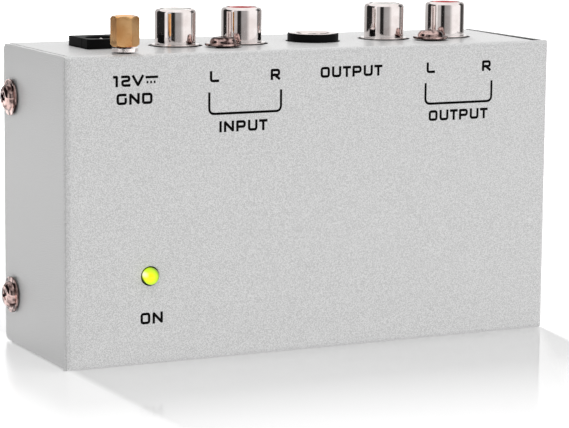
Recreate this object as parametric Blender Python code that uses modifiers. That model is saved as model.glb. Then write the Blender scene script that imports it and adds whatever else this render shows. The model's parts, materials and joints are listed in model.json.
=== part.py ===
"""Small phono preamplifier: a folded steel case with its sockets in a row along the upper face.

Metres, +Z up. The box stands on its long narrow side, with the labelled face towards -Y,
the sockets on top and the screwed cover at the back. The origin is the middle of the base.
"""

import math

import bmesh
import bpy
from mathutils import Matrix, Vector

# Clearances and cuts that every piece shares
FIT = 0.0003
OVERRUN = 0.001
MERGE = 0.00001
SHARP_ANGLE = math.radians(35)
FLAT_ANGLE = math.radians(1)
FACING_SHARE = 0.99

# Folded case tray
CASE_LENGTH = 0.110
CASE_HEIGHT = 0.062
CASE_DEPTH = 0.0345
SHEET = 0.001
BEND_RADIUS = 0.0015
BEND_STEPS = 4
SEAM = 0.0003
SEAM_SETBACK = 0.0005
OPEN_SEAM_WIDENING = 0.0006
FLAP_LIFT = 0.00045
FLAP_CORNER = 0.0015
CORNER_STEPS = 3

# Back cover with two bent ends
COVER_FLANGE = 0.0105
COVER_BEND = 0.0013
COVER_CORNER = 0.002

# Washer-head screws
SHANK_RADIUS = 0.00145
SCREW_WASHER_RADIUS = 0.0037
SCREW_WASHER_THICKNESS = 0.0005
SCREW_HEAD_RADIUS = 0.0027
SCREW_HEAD_HEIGHT = 0.0013
SCREW_DOME = 0.0006
SCREW_STEPS = 16
END_SCREW_LENGTH = 0.006
END_SCREW_BACK_INSET = 0.00505
END_SCREW_EDGE_INSET = 0.0106
BLOCK_SCREW_LENGTH = 0.0075
BLOCK_SCREW_OFFSET = 0.007

# Places along the case, as shares of its length from the middle
INPUT_SHARE = -0.1524
OUTPUT_SHARE = 0.2877
STEREO_SHARE = 0.0664
POWER_SHARE = -0.3618
GROUND_SHARE = -0.3682
LAMP_SHARE = -0.3386

# Phono sockets and their moulded blocks
PHONO_PITCH = 0.0149
SHELL_RADIUS = 0.0042
SHELL_WALL = 0.001
SHELL_RIM_RADIUS = 0.0008
SHELL_PROUD = 0.0075
SHELL_SPIGOT = 0.0052
COLLAR_WIDTH = 0.0007
COLLAR_THICKNESS = 0.0002
SHELL_STEPS = 24
RIM_STEPS = 2
INSULATOR_RECESS = 0.0001
INSULATOR_TAIL = 0.001
INSULATOR_STEPS = 16
MOUTH_LIP = 0.0009
MOUTH_RADIUS = 0.00165
CONTACT_RADIUS = 0.0019
CONTACT_WALL = 0.0003
CONTACT_TAIL = 0.0016
CONTACT_STEPS = 12
NOSE_WALL = 0.0007
NOSE_DROP = 0.0002
NOSE_CLEARANCE = 0.0004
BLOCK_WALL = 0.0013
BLOCK_TOP = 0.0025
BLOCK_RIB = 0.002
BLOCK_HEIGHT = 0.0115
BLOCK_FRONT = 0.010
BOSS_RADIUS = 0.0026
BOSS_LENGTH = 0.0075

# Headphone-size stereo socket
STEREO_NOSE_RADIUS = 0.00535
STEREO_NOSE_WALL = 0.0004
STEREO_PROUD = 0.0016
STEREO_WIDTH = 0.014
STEREO_FRONT = 0.0072
STEREO_LENGTH = 0.027
PLUG_BORE_RADIUS = 0.0033
BUSHING_BORE_RADIUS = 0.00325
BUSHING_DEPTH = 0.005
BUSHING_LIP = 0.00015
BUSHING_CHAMFER = 0.0004
WINDOW_WALL = 0.002
WINDOW_LENGTH = 0.019
WINDOW_HALF_WIDTH = 0.0022
STEREO_STEPS = 28

# Power socket
POWER_WIDTH = 0.009
POWER_FRONT = 0.0045
POWER_PROUD = 0.00195
POWER_LENGTH = 0.0144
POWER_CORNER = 0.0009
POWER_BORE_RADIUS = 0.0032
POWER_BORE_DEPTH = 0.0105
POWER_PIN_RADIUS = 0.00105
POWER_PIN_RECESS = 0.0001
POWER_PIN_TAIL = 0.0012
POWER_WINDOW_LENGTH = 0.006
POWER_WINDOW_HALF_WIDTH = 0.0015
POWER_STEPS = 24

# Contact springs
SPRING_THICKNESS = 0.0003
SPRING_PRESS = 0.0005
SPRING_FOLD = 0.002
SPRING_INSET = 0.00175
TIP_PRESS_SHARE = 0.85
RING_PRESS_SHARE = 0.45

# Ground terminal
GROUND_INSET = 0.00505
STUD_RADIUS = 0.0013
STUD_PROUD = 0.006
STUD_HEAD_RADIUS = 0.00275
STUD_HEAD_HEIGHT = 0.0019
LOCK_WASHER_RADIUS = 0.003
LOCK_WASHER_THICKNESS = 0.0006
WASHER_RADIUS = 0.0026
WASHER_THICKNESS = 0.0007
WASHER_SPLIT = 0.0004
NUT_ACROSS_FLATS = 0.005
NUT_HEIGHT = 0.006
NUT_CHAMFER = 0.0004
NUT_TURN = math.radians(4.4)
NUT_STEPS = 24

# Power lamp
LAMP_RADIUS = 0.0016
LAMP_HEIGHT = 0.018
LAMP_PROUD = 0.0019
LAMP_LENGTH = 0.0053
LAMP_RIM_WIDTH = 0.0004
LAMP_RIM_THICKNESS = 0.001
LAMP_HOLE_CLEARANCE = 0.0004
LAMP_LEG_HALF_WIDTH = 0.00025
LAMP_LEG_SPACING = 0.00254
LAMP_STEPS = 20
DOME_STEPS = 4

# Circuit board
AXIS_HEIGHT = 0.0084
POWER_AXIS_HEIGHT = 0.0065
BOARD_THICKNESS = 0.0016
BOARD_SCREW_CLEARANCE = 0.001
BOARD_TOP_CLEARANCE = 0.0007
BOARD_FOOT = 0.006
PIN_RADIUS = 0.0004
PIN_TAIL = 0.0012
PIN_STEPS = 6

# Pieces soldered to the board, with places as shares of the board's length from the middle and
# of the height between its lower edge and the socket blocks
SUPPLY_CAN_RADIUS = 0.004
SUPPLY_CAN_HEIGHT = 0.012
SMALL_CAN_RADIUS = 0.00315
SMALL_CAN_HEIGHT = 0.011
CAN_EDGE = 0.0005
CAN_GROOVE_DEPTH = 0.0003
CAN_GROOVE_HEIGHT = 0.0015
CAN_LEAD_SPACING_SHARE = 0.7
CAN_STEPS = 16
FILM_SIZE = (0.0072, 0.0085, 0.0045)
FILM_LEAD_SPACING = 0.005
FILM_EDGE = 0.0004
CHIP_SIZE = (0.0049, 0.00145, 0.0039)
CHIP_LEG_PITCH = 0.00127
CHIP_LEG_WIDTH = 0.00042
CHIP_LEG_REACH = 0.00105
CHIP_LEG_THICKNESS = 0.0003
CHIP_LEGS_A_SIDE = 4
REGULATOR_RADIUS = 0.0024
REGULATOR_FLAT = 0.0012
REGULATOR_HEIGHT = 0.0048
REGULATOR_STANDOFF = 0.003
REGULATOR_LEG_RADIUS = 0.00022
REGULATOR_LEG_SPACING = 0.0015
DIODE_RADIUS = 0.00135
DIODE_LENGTH = 0.0052
DIODE_SPAN = 0.0105
SUPPLY_CAN_SHARES = (-0.40, 0.72)
BIAS_CAN_SHARES = (0.06, 0.25)
OUTPUT_CAN_SHARES = ((0.27, 0.65), (0.40, 0.65))
FILM_SHARES = ((-0.26, 0.45), (-0.26, 0.20), (-0.10, 0.45), (-0.10, 0.20))
INPUT_CHIP_SHARES = (-0.175, 0.70)
OUTPUT_CHIP_SHARES = (0.22, 0.25)
REGULATOR_SHARES = (-0.30, 0.72)
DIODE_SHARES = (-0.38, 0.52)

# Levels and places that follow from the sizes above
PANEL_TOP = CASE_HEIGHT
PANEL_UNDER = CASE_HEIGHT - SHEET
SEAT_UNDER = PANEL_UNDER - FIT
FRONT_Y = -CASE_DEPTH / 2
BACK_Y = CASE_DEPTH / 2
JACK_Y = 0.0
BOARD_Y = JACK_Y + AXIS_HEIGHT
BOARD_BACK_Y = BOARD_Y + BOARD_THICKNESS
BOARD_SEAT_Y = BOARD_Y - FIT
PIN_END_Y = BOARD_BACK_Y + PIN_TAIL
POWER_Y = BOARD_Y - POWER_AXIS_HEIGHT
GROUND_Y = FRONT_Y + GROUND_INSET
BOARD_LENGTH = CASE_LENGTH - 2 * (END_SCREW_LENGTH + BOARD_SCREW_CLEARANCE)
BOARD_TOP = PANEL_UNDER - BOARD_TOP_CLEARANCE
BLOCK_UNDER = SEAT_UNDER - BLOCK_HEIGHT
NOSE_BORE = SHELL_RADIUS + FIT
NOSE_RADIUS = NOSE_BORE + NOSE_WALL
NOSE_TOP = PANEL_TOP - NOSE_DROP
SHELL_LOW = PANEL_TOP - SHELL_SPIGOT
INSULATOR_LOW = SHELL_LOW - INSULATOR_TAIL
CONTACT_LOW = INSULATOR_LOW - CONTACT_TAIL
BUSHING_RADIUS = STEREO_NOSE_RADIUS - STEREO_NOSE_WALL - FIT
STUD_HOLE_RADIUS = STUD_RADIUS + FIT

board_pins = []


def collection(name, hidden):
    """A collection in the scene, hidden from renders where it only holds cutting shapes."""
    made = bpy.data.collections.new(name)
    made.hide_render = hidden
    bpy.context.scene.collection.children.link(made)
    return made


def linear(level):
    """A screen colour level from 0 to 255 as a light level from 0 to 1."""
    share = level / 255
    return share / 12.92 if share <= 0.04045 else ((share + 0.055) / 1.055) ** 2.4


def material(name, colour, roughness, metallic=0.0, glow=0.0):
    made = bpy.data.materials.new(name)
    made.use_nodes = True
    shader = made.node_tree.nodes["Principled BSDF"]
    tint = (*(linear(level) for level in colour), 1)
    shader.inputs["Base Color"].default_value = tint
    shader.inputs["Roughness"].default_value = roughness
    shader.inputs["Metallic"].default_value = metallic
    shader.inputs["Emission Color"].default_value = tint
    shader.inputs["Emission Strength"].default_value = glow
    made.diffuse_color = tint
    return made


def add_box(shape, low, high):
    """Adds a box to a bmesh, between two corners."""
    size = [last - first for first, last in zip(low, high)]
    middle = [(first + last) / 2 for first, last in zip(low, high)]
    pose = Matrix.Translation(middle) @ Matrix.Diagonal((*size, 1))
    bmesh.ops.create_cube(shape, size=1, matrix=pose)


def add_rod(shape, start, end, radius, steps=PIN_STEPS):
    """Adds a closed cylinder to a bmesh, between the middles of its two ends."""
    start, end = Vector(start), Vector(end)
    turn = (end - start).to_track_quat("Z", "Y").to_matrix().to_4x4()
    bmesh.ops.create_cone(
        shape,
        cap_ends=True,
        segments=steps,
        radius1=radius,
        radius2=radius,
        depth=(end - start).length,
        matrix=Matrix.Translation((start + end) / 2) @ turn,
    )


def piece(name, shape, finish):
    """One named part, from a bmesh that is freed afterwards."""
    mesh = bpy.data.meshes.new(name)
    shape.to_mesh(mesh)
    shape.free()
    mesh.materials.append(finish)
    made = bpy.data.objects.new(name, mesh)
    PARTS.objects.link(made)
    return made


def combine(target, operation, shape):
    """Cuts a shape from a part, joins it on, or keeps what both have in common."""
    mesh = bpy.data.meshes.new(f"{target.name}_{operation.lower()}")
    shape.to_mesh(mesh)
    shape.free()
    helper = bpy.data.objects.new(mesh.name, mesh)
    helper.hide_render = True
    helper.display_type = "WIRE"
    CUTTERS.objects.link(helper)
    boolean = target.modifiers.new(operation.title(), "BOOLEAN")
    boolean.operation = operation
    boolean.solver = "EXACT"
    boolean.object = helper


def settle(made):
    """Turns a part's modifiers into its mesh, and shades it smooth between its sharp edges."""
    graph = bpy.context.evaluated_depsgraph_get()
    mesh = bpy.data.meshes.new_from_object(made.evaluated_get(graph))
    made.modifiers.clear()
    made.data = mesh
    mesh.shade_smooth()
    mesh.set_sharp_from_angle(angle=SHARP_ANGLE)
    return made


def arc(radius, height, bend, start, end, steps):
    """Points of an arc in a turned profile, in degrees from outward towards up."""
    points = []
    for step in range(steps + 1):
        angle = math.radians(start + (end - start) * step / steps)
        points.append((radius + bend * math.cos(angle), height + bend * math.sin(angle)))
    return points


def turned(name, profile, finish, steps, ring=False):
    """A part turned about its own Z axis. The profile runs down the outer side, and up a bore."""
    shape = bmesh.new()
    points = [shape.verts.new((radius, 0, height)) for radius, height in profile]
    for first, second in zip(points, points[1:]):
        shape.edges.new((first, second))
    if ring:
        shape.edges.new((points[-1], points[0]))
    made = piece(name, shape, finish)
    screw = made.modifiers.new("Turn", "SCREW")
    screw.axis = "Z"
    screw.steps = steps
    screw.render_steps = steps
    screw.use_merge_vertices = True
    screw.merge_threshold = MERGE
    return made


def place(made, location, direction=(0, 0, 1)):
    """Moves a part to its place, with its own Z axis along a direction."""
    made.location = location
    made.rotation_euler = Vector((0, 0, 1)).rotation_difference(Vector(direction)).to_euler()
    return made


def copy(source, name, location, direction=(0, 0, 1), finish=None):
    """Another part of the same mesh, in the same finish unless one is given."""
    made = bpy.data.objects.new(name, source.data)
    PARTS.objects.link(made)
    if finish:
        made.material_slots[0].link = "OBJECT"
        made.material_slots[0].material = finish
    return place(made, location, direction)


def through_board(x, z, radius=PIN_RADIUS):
    """Notes where a soldered pin goes through the board."""
    board_pins.append((x, z, radius + FIT))


def board_place(shares):
    """The place on the board that a pair of shares stands for, as X and Z."""
    free_height = BLOCK_UNDER - BOARD_FOOT
    return shares[0] * BOARD_LENGTH, BOARD_FOOT + shares[1] * free_height


def phono_places():
    """Each phono socket's name and place along the case."""
    for pair, share in (("input", INPUT_SHARE), ("output", OUTPUT_SHARE)):
        for side, step in (("left", -1), ("right", 1)):
            yield f"{pair}_{side}", share * CASE_LENGTH + step * PHONO_PITCH / 2


def end_screw_places():
    """Each cover screw's name, the end that it is on as -1 or 1, and its height."""
    for side, end in (("left", -1), ("right", 1)):
        yield f"{side}_lower", end, END_SCREW_EDGE_INSET
        yield f"{side}_upper", end, CASE_HEIGHT - END_SCREW_EDGE_INSET


def add_panel_holes(cuts):
    """The openings of the upper face, each larger than what comes through it."""
    low, high = PANEL_UNDER - OVERRUN, PANEL_TOP + OVERRUN
    for _, x in phono_places():
        radius = NOSE_RADIUS + NOSE_CLEARANCE
        add_rod(cuts, (x, JACK_Y, low), (x, JACK_Y, high), radius, SHELL_STEPS)
    x = STEREO_SHARE * CASE_LENGTH
    radius = STEREO_NOSE_RADIUS + NOSE_CLEARANCE
    add_rod(cuts, (x, JACK_Y, low), (x, JACK_Y, high), radius, STEREO_STEPS)
    for share in (INPUT_SHARE, OUTPUT_SHARE):
        x, y = share * CASE_LENGTH, JACK_Y - BLOCK_SCREW_OFFSET
        add_rod(cuts, (x, y, low), (x, y, high), SHANK_RADIUS + FIT, SCREW_STEPS)
    x = GROUND_SHARE * CASE_LENGTH
    add_rod(cuts, (x, GROUND_Y, low), (x, GROUND_Y, high), STUD_HOLE_RADIUS, SCREW_STEPS)
    x = POWER_SHARE * CASE_LENGTH
    reach = POWER_WIDTH / 2 + FIT
    first = (x - reach, POWER_Y - POWER_FRONT - FIT, low)
    add_box(cuts, first, (x + reach, BOARD_SEAT_Y + FIT, high))


def round_front(shape, radius):
    """Rounds the four edges around the front of a box, as a fold in sheet steel does."""
    folds = [edge for edge in shape.edges if all(vert.co.y < 0 for vert in edge.verts)]
    bmesh.ops.bevel(
        shape, geom=folds, offset=radius, segments=BEND_STEPS, profile=0.5, affect="EDGES"
    )


def case_tray(finish):
    """Front face with four sides folded back from it. Seams part the folded sides at the corners."""
    half_length = CASE_LENGTH / 2
    shape = bmesh.new()
    add_box(shape, (-half_length, FRONT_Y, 0), (half_length, BACK_Y, CASE_HEIGHT))
    round_front(shape, BEND_RADIUS)
    made = piece("case_tray", shape, finish)

    inner_x = half_length - SHEET
    hollow = bmesh.new()
    first = (-inner_x, FRONT_Y + SHEET, SHEET)
    add_box(hollow, first, (inner_x, BACK_Y + OVERRUN, PANEL_UNDER))
    round_front(hollow, BEND_RADIUS - SHEET)
    seam_x, seam_y = inner_x - SEAM, FRONT_Y + BEND_RADIUS + SEAM_SETBACK
    for point, normal in (
        ((seam_x, 0, 0), (1, 0, 0)),
        ((-seam_x, 0, 0), (1, 0, 0)),
        ((0, seam_y, 0), (0, 1, 0)),
    ):
        hollow.normal_update()
        level = [face for face in hollow.faces if abs(face.normal.z) > FACING_SHARE]
        edges = {edge for face in level for edge in face.edges}
        verts = {vert for face in level for vert in face.verts}
        geometry = [*level, *edges, *verts]
        bmesh.ops.bisect_plane(hollow, geom=geometry, plane_co=point, plane_no=normal)
    for vert in hollow.verts:
        at_seam = abs(vert.co.x - seam_x) < MERGE and abs(vert.co.y - seam_y) < MERGE
        if at_seam and vert.co.z > CASE_HEIGHT / 2:
            vert.co.x -= OPEN_SEAM_WIDENING
    for end in (-1, 1):
        for level in (-1, 1):
            strips = []
            for face in hollow.faces:
                middle = face.calc_center_median()
                behind = end * middle.x > seam_x - OPEN_SEAM_WIDENING and middle.y > seam_y
                if face.normal.z * level > FACING_SHARE and behind:
                    strips.append(face)
            raised = bmesh.ops.extrude_face_region(hollow, geom=strips)
            verts = [item for item in raised["geom"] if isinstance(item, bmesh.types.BMVert)]
            bmesh.ops.translate(hollow, verts=verts, vec=(0, 0, level * (SHEET + OVERRUN)))
            bmesh.ops.delete(hollow, geom=strips, context="FACES_ONLY")
    combine(made, "DIFFERENCE", hollow)

    trim = bmesh.new()
    for end in (-1, 1):
        near, far = end * (inner_x - SEAM / 2), end * (half_length + OVERRUN)
        first = (min(near, far), seam_y, -OVERRUN)
        add_box(trim, first, (max(near, far), BACK_Y + OVERRUN, FLAP_LIFT))
    combine(made, "DIFFERENCE", trim)
    settle(made)
    shape = bmesh.new()
    shape.from_mesh(made.data)
    bmesh.ops.dissolve_limit(
        shape, angle_limit=FLAT_ANGLE, use_dissolve_boundaries=False, verts=shape.verts, edges=shape.edges
    )
    corners = []
    for edge in shape.edges:
        on_flap = all(abs(vert.co.x) > inner_x - MERGE for vert in edge.verts)
        at_back = all(vert.co.y > BACK_Y - MERGE for vert in edge.verts)
        if on_flap and at_back and abs(edge.verts[0].co.x - edge.verts[1].co.x) > SHEET / 2:
            corners.append(edge)
    bmesh.ops.bevel(
        shape, geom=corners, offset=FLAP_CORNER, segments=CORNER_STEPS, profile=0.5, affect="EDGES"
    )
    shape.to_mesh(made.data)
    shape.free()

    cuts = bmesh.new()
    add_panel_holes(cuts)
    x, radius = LAMP_SHARE * CASE_LENGTH, LAMP_RADIUS + LAMP_HOLE_CLEARANCE
    outside, inside = FRONT_Y - OVERRUN, FRONT_Y + SHEET + OVERRUN
    add_rod(cuts, (x, outside, LAMP_HEIGHT), (x, inside, LAMP_HEIGHT), radius, LAMP_STEPS)
    y = BACK_Y - END_SCREW_BACK_INSET
    for _, end, z in end_screw_places():
        outside, inside = half_length + OVERRUN, inner_x - OVERRUN
        add_rod(cuts, (end * outside, y, z), (end * inside, y, z), SHANK_RADIUS + FIT, SCREW_STEPS)
    combine(made, "DIFFERENCE", cuts)


def back_cover(finish):
    """Flat plate inside the tray's rim. Its two ends are bent forward for the screws."""
    shape = bmesh.new()
    half_length = CASE_LENGTH / 2 - SHEET - FIT
    low = SHEET + FIT
    first = (-half_length, BACK_Y - COVER_FLANGE, low)
    add_box(shape, first, (half_length, BACK_Y, CASE_HEIGHT - low))
    shape.normal_update()
    open_sides = [
        face
        for face in shape.faces
        if face.normal.y < -FACING_SHARE or abs(face.normal.z) > FACING_SHARE
    ]
    bmesh.ops.delete(shape, geom=open_sides, context="FACES")
    folds = [edge for edge in shape.edges if len(edge.link_faces) == 2]
    bmesh.ops.bevel(
        shape, geom=folds, offset=COVER_BEND, segments=BEND_STEPS, profile=0.5, affect="EDGES"
    )
    corners = [vert for vert in shape.verts if vert.co.y < BACK_Y - COVER_FLANGE + SEAM]
    bmesh.ops.bevel(
        shape, geom=corners, offset=COVER_CORNER, segments=CORNER_STEPS, profile=0.5, affect="VERTICES"
    )
    made = piece("back_cover", shape, finish)
    wall = made.modifiers.new("Sheet", "SOLIDIFY")
    wall.thickness = SHEET
    wall.offset = -1
    wall.use_even_offset = True
    cuts = bmesh.new()
    y = BACK_Y - END_SCREW_BACK_INSET
    for _, end, z in end_screw_places():
        outside, inside = half_length + OVERRUN, half_length - SHEET - OVERRUN
        add_rod(cuts, (end * outside, y, z), (end * inside, y, z), SHANK_RADIUS + FIT, SCREW_STEPS)
    combine(made, "DIFFERENCE", cuts)
    return made


def washer_head_screw(name, length, finish):
    """A screw whose own Z axis points out of its head, with the head's seat at zero."""
    head_top = SCREW_WASHER_THICKNESS + SCREW_HEAD_HEIGHT
    profile = [
        (0, head_top),
        (SCREW_HEAD_RADIUS - SCREW_DOME, head_top),
        (SCREW_HEAD_RADIUS, head_top - SCREW_DOME),
        (SCREW_HEAD_RADIUS, SCREW_WASHER_THICKNESS),
        (SCREW_WASHER_RADIUS, SCREW_WASHER_THICKNESS),
        (SCREW_WASHER_RADIUS, 0),
        (SHANK_RADIUS, 0),
        (SHANK_RADIUS, -length),
        (0, -length),
    ]
    return settle(turned(name, profile, finish, SCREW_STEPS))


def cover_screws(finish):
    names = list(end_screw_places())
    y, seat = BACK_Y - END_SCREW_BACK_INSET, CASE_LENGTH / 2 + FIT
    first = washer_head_screw(f"cover_screw_{names[0][0]}", END_SCREW_LENGTH, finish)
    place(first, (names[0][1] * seat, y, names[0][2]), (names[0][1], 0, 0))
    for name, end, z in names[1:]:
        copy(first, f"cover_screw_{name}", (end * seat, y, z), (end, 0, 0))


def phono_sockets(nickel, gold, colours):
    """Four sockets, each a plated shell with a coloured insulator and a spring tube inside it."""
    seat = NOSE_TOP + FIT - PANEL_TOP
    low = SHELL_LOW - PANEL_TOP
    bore = SHELL_RADIUS - SHELL_WALL
    rim_radius = SHELL_RADIUS - SHELL_RIM_RADIUS
    rim_height = SHELL_PROUD - SHELL_RIM_RADIUS
    collar_radius = SHELL_RADIUS + COLLAR_WIDTH
    profile = [
        *arc(rim_radius, rim_height, SHELL_RIM_RADIUS, 90, 0, RIM_STEPS),
        (SHELL_RADIUS, seat + COLLAR_THICKNESS),
        (collar_radius, seat + COLLAR_THICKNESS),
        (collar_radius, seat),
        (SHELL_RADIUS, seat),
        (SHELL_RADIUS, low),
        (bore, low),
        (bore, SHELL_PROUD),
    ]
    shell = turned("phono_shell", profile, nickel, SHELL_STEPS, ring=True)
    tab_z = low + 2 * PIN_RADIUS
    tab = bmesh.new()
    pin_end = PIN_END_Y - JACK_Y
    add_rod(tab, (0, bore + SHELL_WALL / 2, tab_z), (0, pin_end, tab_z), PIN_RADIUS)
    combine(shell, "UNION", tab)
    settle(shell)

    top = SHELL_PROUD - INSULATOR_RECESS
    floor = INSULATOR_LOW - PANEL_TOP
    inner = CONTACT_RADIUS + FIT
    profile = [
        (bore - FIT, top),
        (bore - FIT, floor),
        (inner, floor),
        (inner, top - MOUTH_LIP),
        (MOUTH_RADIUS, top - MOUTH_LIP),
        (MOUTH_RADIUS, top),
    ]
    insulator = turned("phono_insulator", profile, colours["left"], INSULATOR_STEPS, ring=True)
    settle(insulator)

    top = top - MOUTH_LIP - FIT
    low = CONTACT_LOW - PANEL_TOP
    inner = CONTACT_RADIUS - CONTACT_WALL
    profile = [
        (0, floor),
        (inner, floor),
        (inner, top),
        (CONTACT_RADIUS, top),
        (CONTACT_RADIUS, low),
        (0, low),
    ]
    contact = turned("phono_contact", profile, gold, CONTACT_STEPS)
    pin_z = low + 2 * PIN_RADIUS
    tail = bmesh.new()
    add_rod(tail, (0, inner / 2, pin_z), (0, pin_end, pin_z), PIN_RADIUS)
    combine(contact, "UNION", tail)
    settle(contact)

    for name, x in phono_places():
        at = (x, JACK_Y, PANEL_TOP)
        copy(shell, f"{name}_shell", at)
        side = name.split("_")[1]
        copy(insulator, f"{name}_insulator", at, finish=colours[side])
        copy(contact, f"{name}_contact", at)
        through_board(x, PANEL_TOP + tab_z)
        through_board(x, PANEL_TOP + pin_z)
    for source in (shell, insulator, contact):
        bpy.data.objects.remove(source)


def phono_blocks(plastic, steel):
    """Moulded housings that hold two sockets each, screwed to the panel and open to the board."""
    half = PHONO_PITCH / 2 + NOSE_RADIUS + FIT
    high, low = SEAT_UNDER - PANEL_TOP, BLOCK_UNDER - PANEL_TOP
    front, back = -BLOCK_FRONT, BOARD_SEAT_Y - JACK_Y
    shape = bmesh.new()
    add_box(shape, (-half, front, low), (half, back, high))
    block = piece("phono_block", shape, plastic)

    pockets = bmesh.new()
    for end in (-1, 1):
        near, far = end * BLOCK_RIB / 2, end * (half - BLOCK_WALL)
        first = (min(near, far), front + BLOCK_WALL, low - OVERRUN)
        add_box(pockets, first, (max(near, far), back + OVERRUN, high - BLOCK_TOP))
    combine(block, "DIFFERENCE", pockets)

    posts = bmesh.new()
    screw_y = -BLOCK_SCREW_OFFSET
    inside_top = high - BLOCK_TOP / 2
    add_rod(posts, (0, screw_y, high - BOSS_LENGTH), (0, screw_y, inside_top), BOSS_RADIUS, SCREW_STEPS)
    for end in (-1, 1):
        x = end * PHONO_PITCH / 2
        nose = NOSE_TOP - PANEL_TOP
        add_rod(posts, (x, 0, inside_top), (x, 0, nose), NOSE_RADIUS, SHELL_STEPS)
    combine(block, "UNION", posts)

    bores = bmesh.new()
    pilot = SHANK_RADIUS + FIT
    add_rod(bores, (0, screw_y, -BLOCK_SCREW_LENGTH), (0, screw_y, OVERRUN), pilot, SCREW_STEPS)
    for end in (-1, 1):
        x = end * PHONO_PITCH / 2
        under = high - BLOCK_TOP - OVERRUN
        add_rod(bores, (x, 0, under), (x, 0, OVERRUN), NOSE_BORE, SHELL_STEPS)
    combine(block, "DIFFERENCE", bores)
    settle(block)

    screw = washer_head_screw("block_screw", BLOCK_SCREW_LENGTH, steel)
    for name, share in (("input", INPUT_SHARE), ("output", OUTPUT_SHARE)):
        x = share * CASE_LENGTH
        copy(block, f"{name}_jack_block", (x, JACK_Y, PANEL_TOP))
        copy(screw, f"{name}_block_screw", (x, JACK_Y - BLOCK_SCREW_OFFSET, PANEL_TOP + FIT))
    bpy.data.objects.remove(block)
    bpy.data.objects.remove(screw)


def contact_spring(name, points, width, tail_start, tail_end, finish):
    """A bent strip through points in X and Z, as wide as it runs along Y, with a pin joined on."""
    shape = bmesh.new()
    line = [shape.verts.new((x, -width / 2, z)) for x, z in points]
    edges = [shape.edges.new(pair) for pair in zip(line, line[1:])]
    swept = bmesh.ops.extrude_edge_only(shape, edges=edges)
    moved = [item for item in swept["geom"] if isinstance(item, bmesh.types.BMVert)]
    bmesh.ops.translate(shape, verts=moved, vec=(0, width, 0))
    bmesh.ops.recalc_face_normals(shape, faces=shape.faces)
    made = piece(name, shape, finish)
    wall = made.modifiers.new("Strip", "SOLIDIFY")
    wall.thickness = SPRING_THICKNESS
    wall.offset = 0
    wall.use_even_offset = True
    tail = bmesh.new()
    add_rod(tail, tail_start, tail_end, PIN_RADIUS)
    combine(made, "UNION", tail)
    return made


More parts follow.
